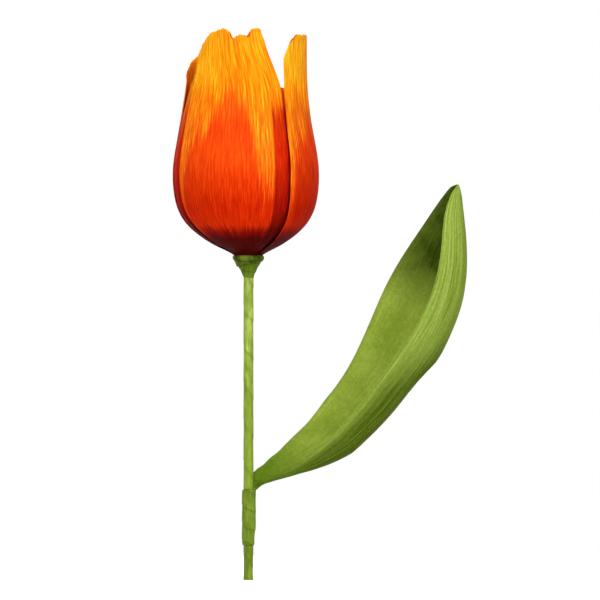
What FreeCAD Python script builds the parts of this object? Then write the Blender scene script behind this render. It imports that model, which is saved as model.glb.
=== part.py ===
import FreeCAD, Part
import math
import os

import Sketcher

# Dyed husk tulip on a tape-wrapped stick, with one folded leaf.
# Millimetres, +Z up along the stick, origin on the stick's axis at its foot.
# The leaf grows towards +X and the front petal faces -Y.
# Angles of petals are counted from the front, positive towards +X.

Vector = FreeCAD.Vector

# Driving dimensions: alias, value, what it is.
SIZES = (
    ("stick_diameter", 2.6, "wooden stick, the core of the stem"),
    ("stick_past_cup", 1.4, "stick's end above the cup's underside"),
    ("lap_fit", 0.05, "clearance between pieces wound on each other"),
    ("tape_wall", 0.3, "lapped layers of stem tape"),
    ("stem_tape_top", 97.3, "height where the stem's tape meets the neck's"),
    ("foot_length", 11.0, "plain wrapped foot below the leaf's wrap"),
    ("joint_length", 18.1, "wrap that ties the leaf's tail to the stick"),
    ("wire_diameter", 0.5, "leaf wire"),
    ("wire_tail_length", 14.0, "leaf wire tied along the stick"),
    ("husk_tail_wall", 0.18, "leaf husk gathered round the wire's tail"),
    ("husk_tail_rise", 0.4, "gathered husk that shows above its wrap"),
    ("bend_rise", 1.6, "leaf wire's bend above its wrap"),
    ("bend_clearance", 0.4, "space under the leaf wire where it bends"),
    ("neck_rise", 7.5, "stem tape's top to the cup's underside"),
    ("tail_length", 5.6, "petal tails tied round the stick"),
    ("binding_wall", 0.25, "thread wound round the petal tails"),
    ("binding_length", 0.9, "width of the wound thread"),
    ("neck_diameter", 6.1, "neck tape where the calyx tape covers it"),
    ("calyx_diameter", 10.4, "widest turn of tape under the cup"),
    ("calyx_length", 4.0, "upper wrap of the calyx"),
    ("petal_thickness", 0.5, "petal sheet"),
    ("layer_gap", 0.3, "space between the inner and outer petals"),
    ("cup_radius", 23.6, "widest radius of the cup"),
    ("cup_rise", 72.1, "cup's underside to its highest tip"),
    ("cup_offset", 0.9, "the cup leans this far towards -X"),
    ("outer_half_angle", 51.0, "degrees, half of an outer petal's spread"),
    ("inner_half_angle", 48.0, "degrees, half of an inner petal's spread"),
    ("crease_rise", 0.8, "crease of the front petal and rim of the right one"),
    ("leaf_start", 1.3, "the blade's root, out from the wire's bend"),
    ("leaf_drop", 0.6, "the blade's keel at its root, below the wire's bend"),
    ("leaf_reach", 67.1, "blade's root to its furthest point, along X"),
    ("leaf_rise", 97.1, "blade's root to its tip, along Z"),
    ("near_depth", 9.5, "near wall of the fold, towards -Y"),
    ("far_depth", 8.0, "far wall of the fold, towards +Y"),
    ("root_depth", 2.0, "either wall of the fold at its root"),
    ("tip_depth", 1.3, "either wall of the fold at its tip"),
    ("leaf_thickness", 0.5, "leaf sheet"),
    ("leaf_wire_length", 104.0, "leaf wire inside the fold, along its keel"),
)

# Outer face of the outer petals, from the tails' ends upwards.
# Tail rows: share of the calyx's radius past the tails, share of tail_length below the cup's
# underside.
TAIL_SHARES = (
    (0.0, 1.0), (0.0, 0.82), (0.015, 0.66), (0.076, 0.52), (0.326, 0.33), (0.825, 0.14))
# Cup rows: share of the cup's radius past the tails, share of cup_rise.
CUP_SHARES = (
    (0.218, 0.007), (0.376, 0.029), (0.552, 0.060), (0.728, 0.101), (0.857, 0.147),
    (0.943, 0.204), (0.986, 0.269), (1.000, 0.340), (0.981, 0.419), (0.933, 0.506),
    (0.881, 0.596), (0.843, 0.689), (0.819, 0.786), (0.809, 0.890), (0.805, 1.000),
)
BELLY_SHARE = 0.340

# Rows of a petal's grid: shares of the way to the belly, then from the belly to the top edge.
LOWER_ROW_SHARES = (
    0.0, 0.025, 0.05, 0.075, 0.10, 0.13, 0.16, 0.20, 0.27, 0.36, 0.47, 0.60, 0.73, 0.87, 1.0)
UPPER_ROW_SHARES = (0.14, 0.28, 0.42, 0.56, 0.70, 0.82, 0.92, 1.0)
PETAL_COLUMNS = 25
# Shares of cup_rise where petals start to narrow and to lean.
NARROW_START_SHARE = 0.70
LEAN_START_SHARE = 0.55
# Share of their spread that petals keep where they are tied.
TAIL_SPREAD_SHARE = 0.90
# Share of the way to the belly over which the layers part, from the tails' fit to layer_gap.
PARTING_SHARE = 0.25

# Each petal: degrees of its middle, degrees that its top turns, share of its half angle left at
# the top, share of cup_radius that its top leans out, and its top edge from its left side to its
# right, as shares of cup_rise below the highest tip.
OUTER_PETALS = {
    "petal_front": (-13.5, -6.5, 0.80, -0.150, (
        0.090, 0.060, 0.038, 0.024, 0.012, 0.006, 0.020, 0.036, 0.036, 0.028, 0.012, 0.012, 0.050)),
    "petal_right": (87.5, 0.0, 0.96, 0.015, (
        0.140, 0.066, 0.036, 0.034, 0.034, 0.033, 0.035, 0.040, 0.050, 0.064, 0.084, 0.112, 0.150)),
    "petal_left": (-131.5, 0.0, 0.86, -0.060, (
        0.250, 0.200, 0.168, 0.142, 0.126, 0.114, 0.110, 0.120, 0.136, 0.152, 0.170, 0.190, 0.240)),
}
INNER_PETALS = {
    "petal_inner_left": (-75.0, 0.0, 0.72, -0.190, (
        0.340, 0.290, 0.255, 0.230, 0.214, 0.204, 0.200, 0.204, 0.214, 0.230, 0.255, 0.290, 0.340)),
    "petal_inner_right": (38.5, 0.0, 0.72, -0.190, (
        0.390, 0.345, 0.312, 0.290, 0.276, 0.268, 0.265, 0.268, 0.276, 0.290, 0.312, 0.345, 0.390)),
    "petal_inner_back": (159.0, 0.0, 0.72, -0.190, (
        0.380, 0.335, 0.303, 0.281, 0.266, 0.258, 0.255, 0.260, 0.270, 0.284, 0.306, 0.338, 0.385)),
}
# Where a petal has a crease or a raised rim: shares of the half angle at its middle and for its
# half width, and the share of crease_rise that it stands out. Both fade away between the last
# two shares, of cup_rise.
RELIEF_SHARES = {"petal_front": (0.60, 0.42, 1.0), "petal_right": (-1.0, 0.40, 1.3)}
RELIEF_FADE_SHARES = (0.62, 0.95)

# Stations of the leaf from its root to its tip, as shares of leaf_reach and leaf_rise: the keel's
# X and Z, the far rim's X and Z, the near rim's X and Z, and the share of the fold's full depth.
LEAF_STATION_SHARES = (
    (0.000, 0.000, 0.003, 0.046, 0.003, 0.015, 0.00),
    (0.157, 0.028, 0.136, 0.159, 0.153, 0.061, 0.34),
    (0.310, 0.065, 0.259, 0.241, 0.283, 0.124, 0.59),
    (0.447, 0.120, 0.361, 0.320, 0.396, 0.200, 0.79),
    (0.568, 0.191, 0.440, 0.404, 0.496, 0.283, 0.92),
    (0.678, 0.273, 0.501, 0.490, 0.589, 0.369, 0.98),
    (0.780, 0.362, 0.552, 0.572, 0.676, 0.452, 1.00),
    (0.871, 0.454, 0.601, 0.648, 0.752, 0.534, 0.99),
    (0.944, 0.551, 0.656, 0.720, 0.813, 0.617, 0.94),
    (0.990, 0.655, 0.721, 0.792, 0.853, 0.705, 0.85),
    (1.000, 0.766, 0.796, 0.869, 0.873, 0.800, 0.68),
    (0.989, 0.883, 0.873, 0.947, 0.890, 0.901, 0.41),
    (0.966, 0.990, 0.937, 1.000, 0.945, 0.996, 0.00),
)
# Columns of the leaf from its near rim to its far rim, as shares of each wall.
LEAF_COLUMN_SHARES = (
    -1.0, -0.84, -0.67, -0.50, -0.33, -0.16, 0.0, 0.12, 0.25, 0.38, 0.52, 0.68, 0.84, 1.0)
KEEL_COLUMN = LEAF_COLUMN_SHARES.index(0.0)
WIRE_SECTIONS = 24

# Calyx tape, outside, from its foot to its top: share of its wall past the binding, share of its
# length. Neck tape, outside, from its foot to its top: the same of its own.
CALYX_SHARES = ((0.225, 0.0), (0.49, 0.195), (0.918, 0.645), (1.0, 0.832), (0.95, 1.0))
NECK_SHARES = ((0.0, 0.0), (0.5, 0.48), (0.89, 0.82), (1.0, 1.0))

# Turns of the wrap over the leaf's tail, from its foot up: share of joint_length, then shares of
# the tail's width that the turn is pushed out to +X and that it is wider than the stick's bore.
JOINT_TURN_SHARES = (
    (0.0, -0.10, 0.74), (0.17, -0.06, 0.84), (0.30, 0.08, 0.98), (0.55, 0.13, 1.02),
    (0.80, 0.11, 0.99), (1.0, 0.14, 1.03),
)

document = FreeCAD.newDocument("tulip")
sheet = document.addObject("Spreadsheet::Sheet", "sizes")
for row, (alias, value, note) in enumerate(SIZES, start=1):
    sheet.set(f"A{row}", alias)
    sheet.set(f"B{row}", str(value))
    sheet.set(f"C{row}", note)
    sheet.setAlias(f"B{row}", alias)
document.recompute()

# Expressions over the spreadsheet that several sub-parts share.
STICK = "(sizes.stick_diameter / 2)"
BORE = f"({STICK} + sizes.lap_fit)"
TAPE = f"({BORE} + sizes.tape_wall)"
TAIL_RING = f"({STICK} + 2 * sizes.lap_fit + 2 * sizes.petal_thickness)"
CUP_BASE = "(sizes.stem_tape_top + sizes.neck_rise)"
TAILS_END = f"({CUP_BASE} - sizes.tail_length)"
BINDING_BORE = f"({TAIL_RING} + 2 * sizes.lap_fit)"
CALYX_BORE = f"({BINDING_BORE} + sizes.binding_wall + sizes.lap_fit)"
CALYX_TOP = f"({CUP_BASE} - {TAIL_SHARES[-1][1]} * sizes.tail_length)"
CALYX_FOOT = f"({CALYX_TOP} - sizes.calyx_length)"
JOINT_TOP = "(sizes.foot_length + sizes.joint_length)"
HUSK_TAIL = "(sizes.wire_diameter / 2 + sizes.lap_fit + sizes.husk_tail_wall)"
WIRE_OUT = f"({BORE} + {HUSK_TAIL})"
BEND = f"({JOINT_TOP} + sizes.bend_rise)"
WIRE_TAIL_TOP = f"({BEND} - sizes.wire_diameter / 2 - sizes.bend_clearance)"
WIRE_TAIL_FOOT = f"({WIRE_TAIL_TOP} - sizes.wire_tail_length)"


def worth(expression):
    """The present value of an expression over the spreadsheet."""
    return float(sheet.evalExpression(expression))


def size(alias):
    """One driving dimension, read from the spreadsheet."""
    return worth(f"sizes.{alias}")


def smooth(share):
    """A smooth step from nought to one."""
    held = min(max(share, 0.0), 1.0)
    return held * held * (3 - 2 * held)


def bind(target, **expressions):
    """Binds properties of a document object to expressions over the spreadsheet."""
    for name, expression in expressions.items():
        target.setExpression(name.replace("__", "."), expression)


def cylinder(name, radius, height, base="0", across="0"):
    """A cylinder on an upright axis, its sizes and place given as expressions."""
    made = document.addObject("Part::Cylinder", name)
    bind(made, Radius=radius, Height=height, Placement__Base__z=base, Placement__Base__x=across)
    return made


def cut(label, base, tool):
    """A sub-part that is one shape less another."""
    made = document.addObject("Part::Cut", label)
    made.Base = base
    made.Tool = tool
    made.Label = label
    return made


def sleeve(label, outside, bore, height, base):
    """A tube round the stick."""
    return cut(
        label,
        cylinder(f"{label}_outside", outside, height, base),
        cylinder(f"{label}_bore", bore, height, base),
    )


def make_stem_tape():
    """The tape from the leaf's wrap up to the neck, parted where the leaf's tail comes out."""
    tube = sleeve(
        "stem_tape_tube", TAPE, BORE, f"sizes.stem_tape_top - {JOINT_TOP}", JOINT_TOP
    )
    parting = cylinder(
        "stem_tape_parting",
        f"{HUSK_TAIL} + sizes.lap_fit",
        f"sizes.bend_rise + {HUSK_TAIL} + sizes.lap_fit",
        JOINT_TOP,
        WIRE_OUT,
    )
    return cut("stem_tape", tube, parting)


def make_joint_tape():
    """The wrap that ties the leaf's tail to the stick, pushed out where the tail lies."""
    turns = []
    for number, (height, push, more) in enumerate(JOINT_TURN_SHARES):
        turn = document.addObject("Part::Circle", f"joint_turn_{number}")
        bind(
            turn,
            Radius=f"{BORE} + {more} * 2 * {HUSK_TAIL}",
            Placement__Base__x=f"{push} * 2 * {HUSK_TAIL}",
            Placement__Base__z=f"sizes.foot_length + {height} * sizes.joint_length",
        )
        turns.append(turn)
    wrap = document.addObject("Part::Loft", "joint_wrap")
    wrap.Sections = turns
    wrap.Solid = True
    wrap.Ruled = False
    hollow = document.addObject("Part::MultiFuse", "joint_hollow")
    hollow.Shapes = [
        cylinder("joint_bore", BORE, "sizes.joint_length", "sizes.foot_length"),
        cylinder(
            "joint_channel",
            f"{HUSK_TAIL} + sizes.lap_fit",
            f"{JOINT_TOP} - {WIRE_TAIL_FOOT} + sizes.lap_fit",
            f"{WIRE_TAIL_FOOT} - sizes.lap_fit",
            WIRE_OUT,
        ),
    ]
    return cut("joint_tape", wrap, hollow)


def make_leaf_tail():
    """The leaf wire's end along the stick, and the leaf's husk gathered round it."""
    wire = cylinder(
        "leaf_wire_tail", "sizes.wire_diameter / 2", "sizes.wire_tail_length", WIRE_TAIL_FOOT, WIRE_OUT
    )
    wire.Label = "leaf_wire_tail"
    height = f"{JOINT_TOP} + sizes.husk_tail_rise - {WIRE_TAIL_FOOT}"
    outside = cylinder("husk_tail_outside", HUSK_TAIL, height, WIRE_TAIL_FOOT, WIRE_OUT)
    inside = cylinder(
        "husk_tail_inside",
        "sizes.wire_diameter / 2 + sizes.lap_fit",
        height,
        WIRE_TAIL_FOOT,
        WIRE_OUT,
    )
    return [wire, cut("leaf_husk_tail", outside, inside)]


def revolved(label, corners):
    """A body turned round the stick's axis from a closed outline of straight lines.

    The corners are pairs of expressions, a radius and a height.
    """
    body = document.addObject("PartDesign::Body", label)
    body.Label = label
    outline = body.newObject("Sketcher::SketchObject", f"{label}_outline")
    plane = next(face for face in body.Origin.OriginFeatures if face.Role == "XZ_Plane")
    outline.AttachmentSupport = [(plane, "")]
    outline.MapMode = "FlatFace"
    now = [Vector(worth(radius), worth(height), 0) for radius, height in corners]
    following = [(number + 1) % len(corners) for number in range(len(corners))]
    for number, after in enumerate(following):
        outline.addGeometry(Part.LineSegment(now[number], now[after]), False)
    for number, after in enumerate(following):
        outline.addConstraint(Sketcher.Constraint("Coincident", number, 2, after, 1))
    for number, (radius, height) in enumerate(corners):
        for kind, expression, value in (
            ("DistanceX", radius, now[number].x), ("DistanceY", height, now[number].y)
        ):
            added = outline.addConstraint(Sketcher.Constraint(kind, -1, 1, number, 1, value))
            outline.setExpression(f"Constraints[{added}]", expression)
    turned = body.newObject("PartDesign::Revolution", f"{label}_turned")
    turned.Profile = outline
    turned.ReferenceAxis = (outline, ["V_Axis"])
    turned.Angle = 360
    document.recompute()
    return body


def petal_corner(row):
    """The outer petals' face at one tail row, as expressions, with room for the tape on it."""
    across, down = TAIL_SHARES[row]
    radius = f"{TAIL_RING} + {across} * (sizes.calyx_diameter / 2 - {TAIL_RING})"
    return f"{radius} + 2 * sizes.lap_fit", f"{CUP_BASE} - {down} * sizes.tail_length"


def make_calyx():
    """The two wraps of tape under the cup: the lower neck and the upper bulge."""
    neck_foot = "(sizes.stem_tape_top + sizes.lap_fit)"
    neck_top = f"({CALYX_FOOT} - sizes.lap_fit)"
    neck_step = f"{TAILS_END} - sizes.lap_fit"
    neck_outside = [
        (
            f"{TAPE} + {across} * (sizes.neck_diameter / 2 - {TAPE})",
            f"{neck_foot} + {up} * ({neck_top} - {neck_foot})",
        )
        for across, up in NECK_SHARES
    ]
    neck = revolved("neck_tape", [
        *neck_outside,
        (BINDING_BORE, neck_top), (BINDING_BORE, neck_step), (BORE, neck_step), (BORE, neck_foot),
    ])
    calyx_outside = [
        (
            f"{CALYX_BORE} + {across} * (sizes.calyx_diameter / 2 - {CALYX_BORE})",
            f"{CALYX_FOOT} + {up} * sizes.calyx_length",
        )
        for across, up in CALYX_SHARES
    ]
    calyx = revolved("calyx_tape", [
        *calyx_outside,
        petal_corner(5), petal_corner(4), petal_corner(3),
        (CALYX_BORE, petal_corner(2)[1]), (CALYX_BORE, CALYX_FOOT),
    ])
    return [neck, calyx]


def meridian():
    """The cup's outer meridian, as a curve of (radius, height), and its parameter at the belly."""
    tail, base, rise = worth(TAIL_RING), worth(CUP_BASE), size("cup_rise")
    flare, swell = size("calyx_diameter") / 2 - tail, size("cup_radius") - tail
    points = [
        Vector(tail + across * flare, base - down * size("tail_length"), 0)
        for across, down in TAIL_SHARES
    ]
    points += [Vector(tail + across * swell, base + up * rise, 0) for across, up in CUP_SHARES]
    curve = Part.BSplineCurve()
    curve.interpolate(points)
    return curve, curve.parameter(Vector(size("cup_radius"), base + BELLY_SHARE * rise, 0))


def parameter_at_height(curve, height, low, high):
    """The parameter of the meridian at one height, between two others."""
    for _ in range(40):
        middle = (low + high) / 2
        if curve.value(middle).y < height:
            low = middle
        else:
            high = middle
    return (low + high) / 2


def between(table, side):
    """A value of a table that runs from side -1 to side 1."""
    place = (side + 1) / 2 * (len(table) - 1)
    before = min(int(place), len(table) - 2)
    return table[before] + (place - before) * (table[before + 1] - table[before])


def petal_grid(curve, belly, half_angle, petal, relief):
    """Points of a petal's outer face, in rows from its tail to its top edge."""
    middle, turn, narrow, lean, edge = petal
    crease, spread, full = relief
    base, rise, radius = worth(CUP_BASE), size("cup_rise"), size("cup_radius")
    first, last = curve.FirstParameter, curve.LastParameter
    columns = []
    for number in range(PETAL_COLUMNS):
        side = 2 * number / (PETAL_COLUMNS - 1) - 1
        top = parameter_at_height(curve, base + rise * (1 - between(edge, side)), belly, last)
        raised = full * smooth(1 - abs(side - crease) / spread)
        steps = [(first + share * (belly - first), share) for share in LOWER_ROW_SHARES]
        steps += [(belly + share * (top - belly), 1.0) for share in UPPER_ROW_SHARES]
        column = []
        for parameter, opened in steps:
            point = curve.value(parameter)
            height = (point.y - base) / rise
            end = smooth((height - NARROW_START_SHARE) / (1 - NARROW_START_SHARE))
            leaning = smooth((height - LEAN_START_SHARE) / (1 - LEAN_START_SHARE))
            gather = 1 - (1 - TAIL_SPREAD_SHARE) * (1 - smooth(opened))
            angle = math.radians(
                middle + turn * end + side * half_angle * gather * (1 - (1 - narrow) * end)
            )
            fade_from, fade_to = RELIEF_FADE_SHARES
            stand = size("crease_rise") * raised * smooth(opened)
            stand *= 1 - smooth((height - fade_from) / (fade_to - fade_from))
            out = point.x + lean * radius * leaning + stand
            column.append(Vector(
                out * math.sin(angle) - size("cup_offset") * smooth(opened),
                -out * math.cos(angle),
                point.y,
            ))
        columns.append(column)
    return [list(row) for row in zip(*columns)]


def inward(grid, depths):
    """A grid moved along its normals, away from the side that it faces, by a depth per row."""
    rows, columns = len(grid), len(grid[0])
    moved = []
    for i in range(rows):
        row = []
        for j in range(columns):
            up = grid[min(i + 1, rows - 1)][j] - grid[max(i - 1, 0)][j]
            over = grid[i][min(j + 1, columns - 1)] - grid[i][max(j - 1, 0)]
            row.append(grid[i][j] - over.cross(up).normalize() * depths[i])
        moved.append(row)
    return moved


def spacing(lines):
    """Parameters from nought to one that lines of points share, by their mean steps."""
    steps = [
        sum((line[i + 1] - line[i]).Length for line in lines) for i in range(len(lines[0]) - 1)
    ]
    return [sum(steps[:i]) / sum(steps) for i in range(len(steps))] + [1.0]


def through(points, parameters):
    """A smooth curve through points at given parameters."""
    curve = Part.BSplineCurve()
    curve.interpolate(Points=points, Parameters=parameters)
    return curve


def skin(grid):
    """A smooth face through a grid of points."""
    across, along = spacing(grid), spacing([list(line) for line in zip(*grid)])
    rows = [through(row, across) for row in grid]
    ladders = [through(list(poles), along) for poles in zip(*(row.getPoles() for row in rows))]
    surface = Part.BSplineSurface()
    surface.buildFromPolesMultsKnots(
        [ladder.getPoles() for ladder in ladders],
        rows[0].getMultiplicities(), ladders[0].getMultiplicities(),
        rows[0].getKnots(), ladders[0].getKnots(),
        False, False, rows[0].Degree, ladders[0].Degree,
    )
    return surface.toShape()


def husk_solid(outside, inside):
    """A closed sheet between two smooth faces through grids alike."""
    faces = [skin(outside), skin(inside)]
    for one, other in zip(faces[0].Edges, faces[1].Edges):
        faces += Part.makeLoft([Part.Wire(one), Part.Wire(other)], False, True).Faces
    shell = Part.makeShell(faces)
    shell.sewShape()
    solid = Part.makeSolid(shell)
    if solid.Volume < 0:
        solid.reverse()
    return solid


def feature(label, shape):
    """A sub-part whose shape is made here from the sheet's sizes."""
    made = document.addObject("Part::Feature", label)
    made.Shape = shape
    made.Label = label
    made.Placement = FreeCAD.Placement()
    return made


def make_petals():
    """The outer and the inner whorl of three petals each."""
    curve, belly = meridian()
    flat = (0.0, 1.0, 0.0)
    husk, fit, gap = size("petal_thickness"), size("lap_fit"), size("layer_gap")
    parting = [fit + (gap - fit) * smooth(share / PARTING_SHARE) for share in LOWER_ROW_SHARES]
    parting += [gap] * len(UPPER_ROW_SHARES)
    made = []
    for label, petal in OUTER_PETALS.items():
        relief = RELIEF_SHARES.get(label, flat)
        grid = petal_grid(curve, belly, size("outer_half_angle"), petal, relief)
        made.append(feature(label, husk_solid(grid, inward(grid, [husk] * len(grid)))))
    for label, petal in INNER_PETALS.items():
        grid = petal_grid(curve, belly, size("inner_half_angle"), petal, flat)
        outside = inward(grid, [husk + apart for apart in parting])
        inside = inward(grid, [2 * husk + apart for apart in parting])
        made.append(feature(label, husk_solid(outside, inside)))
    return made


def leaf_grid():
    """Points of the leaf's outer face, in rows from its root to its tip."""
    root = Vector(worth(WIRE_OUT) + size("leaf_start"), 0, worth(BEND) - size("leaf_drop"))
    reach, rise = size("leaf_reach"), size("leaf_rise")
    last = len(LEAF_STATION_SHARES) - 1
    grid = []
    for number, station in enumerate(LEAF_STATION_SHARES):
        keel_x, keel_z, far_x, far_z, near_x, near_z, fullness = station
        keel = root + Vector(keel_x * reach, 0, keel_z * rise)
        far = root + Vector(far_x * reach, 0, far_z * rise)
        near = root + Vector(near_x * reach, 0, near_z * rise)
        along = number / last
        end_depth = size("root_depth") * (1 - along) + size("tip_depth") * along
        row = []
        for share in LEAF_COLUMN_SHARES:
            rim = far if share > 0 else near
            full_depth = size("far_depth") if share > 0 else size("near_depth")
            depth = end_depth + (full_depth - end_depth) * fullness
            turn = share * math.pi / 2
            row.append(keel + (rim - keel) * (1 - math.cos(turn)) + Vector(0, depth * math.sin(turn), 0))
        grid.append(row)
    return grid


def make_leaf():
    """The folded blade, and the wire glued in its fold, from its bend by the stick."""
    grid = leaf_grid()
    blade = husk_solid(grid, inward(grid, [size("leaf_thickness")] * len(grid)))
    radius = size("wire_diameter") / 2
    seat = inward(grid, [size("leaf_thickness") + 2 * size("lap_fit") + radius] * len(grid))
    bend = Vector(worth(WIRE_OUT), 0, worth(BEND))
    path = Part.BSplineCurve()
    path.interpolate([bend] + [row[KEEL_COLUMN] for row in seat])
    end = path.parameterAtDistance(size("leaf_wire_length"), path.FirstParameter)
    sections = []
    for number in range(WIRE_SECTIONS + 1):
        parameter = path.FirstParameter + (end - path.FirstParameter) * number / WIRE_SECTIONS
        circle = Part.Circle(path.value(parameter), path.tangent(parameter)[0], radius)
        sections.append(Part.Wire(circle.toShape()))
    wire = Part.makeLoft(sections, True, False).fuse(Part.makeSphere(radius, bend))
    return [feature("leaf_blade", blade), feature("leaf_wire", wire)]


stick = cylinder("stem_stick", STICK, f"{CUP_BASE} + sizes.stick_past_cup")
stick.Label = "stem_stick"
sub_parts = [
    stick,
    make_stem_tape(),
    sleeve("foot_tape", TAPE, BORE, "sizes.foot_length", "0"),
    make_joint_tape(),
    *make_leaf_tail(),
    sleeve(
        "petal_binding",
        f"{BINDING_BORE} + sizes.binding_wall",
        BINDING_BORE,
        "sizes.binding_length",
        f"{CALYX_FOOT} + sizes.lap_fit",
    ),
    *make_calyx(),
    *make_petals(),
    *make_leaf(),
]
document.recompute()

for thing in document.Objects:
    if "Invalid" in thing.State or "Error" in thing.State:
        raise RuntimeError(f"{thing.Label} failed: {thing.State}")
for thing in sub_parts:
    if thing.Shape.isNull() or not thing.Shape.isValid():
        raise RuntimeError(f"{thing.Label} has no valid shape")

os.makedirs("parts", exist_ok=True)
for thing in sub_parts:
    thing.Shape.exportStep(os.path.join("parts", f"{thing.Label}.step"))
    bounds = thing.Shape.BoundBox
    print(
        f"{thing.Label}: solids {len(thing.Shape.Solids)}, volume {thing.Shape.Volume:.1f},"
        f" x {bounds.XMin:.2f} to {bounds.XMax:.2f}, y {bounds.YMin:.2f} to {bounds.YMax:.2f},"
        f" z {bounds.ZMin:.2f} to {bounds.ZMax:.2f}"
    )
print("leaf bend at", round(worth(WIRE_OUT), 4), 0, round(worth(BEND), 4))
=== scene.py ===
"""A dyed husk tulip on a tape-wrapped stick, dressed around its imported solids.

Six petals are rolled from thin fibrous husk and tied under tape, and one folded leaf stands out
from the stick on a wire. Lengths are millimetres until a mesh is made, and metres in the finishes,
in the inputs of the node tools and in the studio.
"""
from __future__ import annotations

import logging
import math
from dataclasses import dataclass, field
from enum import Enum

import bpy
import numpy as np
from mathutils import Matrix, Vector


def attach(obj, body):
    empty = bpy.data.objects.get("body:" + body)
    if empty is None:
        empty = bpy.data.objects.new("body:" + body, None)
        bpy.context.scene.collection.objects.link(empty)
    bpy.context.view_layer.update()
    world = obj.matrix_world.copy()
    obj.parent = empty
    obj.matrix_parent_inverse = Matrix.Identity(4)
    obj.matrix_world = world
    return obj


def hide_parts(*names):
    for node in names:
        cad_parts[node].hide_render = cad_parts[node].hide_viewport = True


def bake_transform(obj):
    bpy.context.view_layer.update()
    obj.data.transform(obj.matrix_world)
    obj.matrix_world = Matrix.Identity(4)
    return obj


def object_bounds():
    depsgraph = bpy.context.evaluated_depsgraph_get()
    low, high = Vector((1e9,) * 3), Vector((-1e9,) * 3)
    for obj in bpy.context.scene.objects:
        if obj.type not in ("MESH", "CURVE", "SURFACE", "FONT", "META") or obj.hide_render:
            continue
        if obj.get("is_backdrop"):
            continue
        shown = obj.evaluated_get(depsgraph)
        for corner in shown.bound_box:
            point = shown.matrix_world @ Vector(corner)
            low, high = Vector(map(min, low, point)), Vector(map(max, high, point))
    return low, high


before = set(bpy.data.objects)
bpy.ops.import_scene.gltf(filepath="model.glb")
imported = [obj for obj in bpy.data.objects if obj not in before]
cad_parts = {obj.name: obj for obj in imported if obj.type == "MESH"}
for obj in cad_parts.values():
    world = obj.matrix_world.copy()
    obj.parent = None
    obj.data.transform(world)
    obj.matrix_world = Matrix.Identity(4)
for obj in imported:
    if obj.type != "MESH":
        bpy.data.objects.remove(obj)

LOG = logging.getLogger("tulip")
METRE = 0.001
Array = np.ndarray
Piece = bpy.types.Object
Node = bpy.types.Node
Socket = bpy.types.NodeSocket
Sockets = bpy.types.NodeOutputs
Surface = tuple[Socket, Socket, Socket]
Inputs = tuple[tuple[str, float | int], ...]
Place = tuple[float, float, float]
Colour = tuple[float, float, float, float]
Tints = tuple[Colour, Colour]
Stops = tuple[tuple[float, Colour], ...]
Span = tuple[float, float]
Rows = tuple[tuple[float, ...], ...]
WHITE: Colour = (1.0, 1.0, 1.0, 1.0)


class Body(Enum):
    """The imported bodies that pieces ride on."""

    STEM = "stem"
    LEAF = "leaf"


class Layer(Enum):
    """The whorls of the cup, with the rows and columns of points in each of their petals."""

    OUTER = (110, 240)
    INNER = (70, 130)


class Wall(Enum):
    """The two walls of the folded leaf, by the side of the keel that they are on."""

    NEAR = -1
    FAR = 1


def paint(red: float, green: float, blue: float) -> Colour:
    """Turns a colour of 0 to 255 a channel into the linear colour that shaders take."""
    shares = (red / 255, green / 255, blue / 255)
    return *(s / 12.92 if s <= 0.04045 else ((s + 0.055) / 1.055) ** 2.4 for s in shares), 1.0


def dyes(*rows: tuple[float, ...]) -> Stops:
    """Colour stops from rows of a place and the three channels of its colour."""
    return tuple((place, paint(*colour)) for place, *colour in rows)


def smooth(value: Array | float, start: Array | float = 0.0, run: float = 1.0) -> Array:
    """A smooth step from nought to one.

    Args:
        value: Where the step is read.
        start: Where it begins.
        run: How long it is.

    Returns:
        Its height at each value.
    """
    held = np.clip((value - start) / run, 0.0, 1.0)
    return held * held * (3 - 2 * held)


def along_pairs(pairs: Rows, at: Array) -> Array:
    """Reads a table of (place, value) at any place, straight between its entries."""
    return np.interp(at, *np.array(pairs).T)


def hermite(share: Array, first: Array, leaving: Array, last: Array, arriving: Array) -> Array:
    """A cubic curve between two values.

    Args:
        share: Shares of the way.
        first: The value that it leaves.
        leaving: Its slope there.
        last: The value that it reaches.
        arriving: Its slope there.

    Returns:
        Its value at each share.
    """
    square, cube = share**2, share**3
    return (
        first * (2 * cube - 3 * square + 1)
        + last * (3 * square - 2 * cube)
        + leaving * (cube - 2 * square + share)
        + arriving * (cube - square)
    )


def spline(knots: Array, values: Array, at: Array) -> Array:
    """A smooth cubic curve through values, its end slopes those of the four nearest values.

    Args:
        knots: Rising parameters of the values.
        values: One row of values for each knot.
        at: Parameters to read.

    Returns:
        One row for each parameter read.
    """
    last, gaps = len(knots) - 1, np.diff(knots)
    steps = np.diff(values, axis=0) / gaps[:, None]
    system, target = np.zeros((last + 1, last + 1)), np.zeros_like(values)
    for end, near in ((0, slice(0, 4)), (last, slice(last - 3, last + 1))):
        system[end, end] = 1.0
        target[end] = np.polyfit(knots[near] - knots[end], values[near], 3)[2]
    for i in range(1, last):
        before, after = 1 / gaps[i - 1], 1 / gaps[i]
        system[i, i - 1:i + 2] = before, 2 * (before + after), after
        target[i] = 3 * (steps[i - 1] * before + steps[i] * after)
    slopes = np.linalg.solve(system, target)
    place = np.clip(np.searchsorted(knots, at, "right") - 1, 0, last - 1)
    later, gap = place + 1, gaps[place][:, None]
    share = (at - knots[place])[:, None] / gap
    return hermite(share, values[place], gap * slopes[place], values[later], gap * slopes[later])


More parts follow.
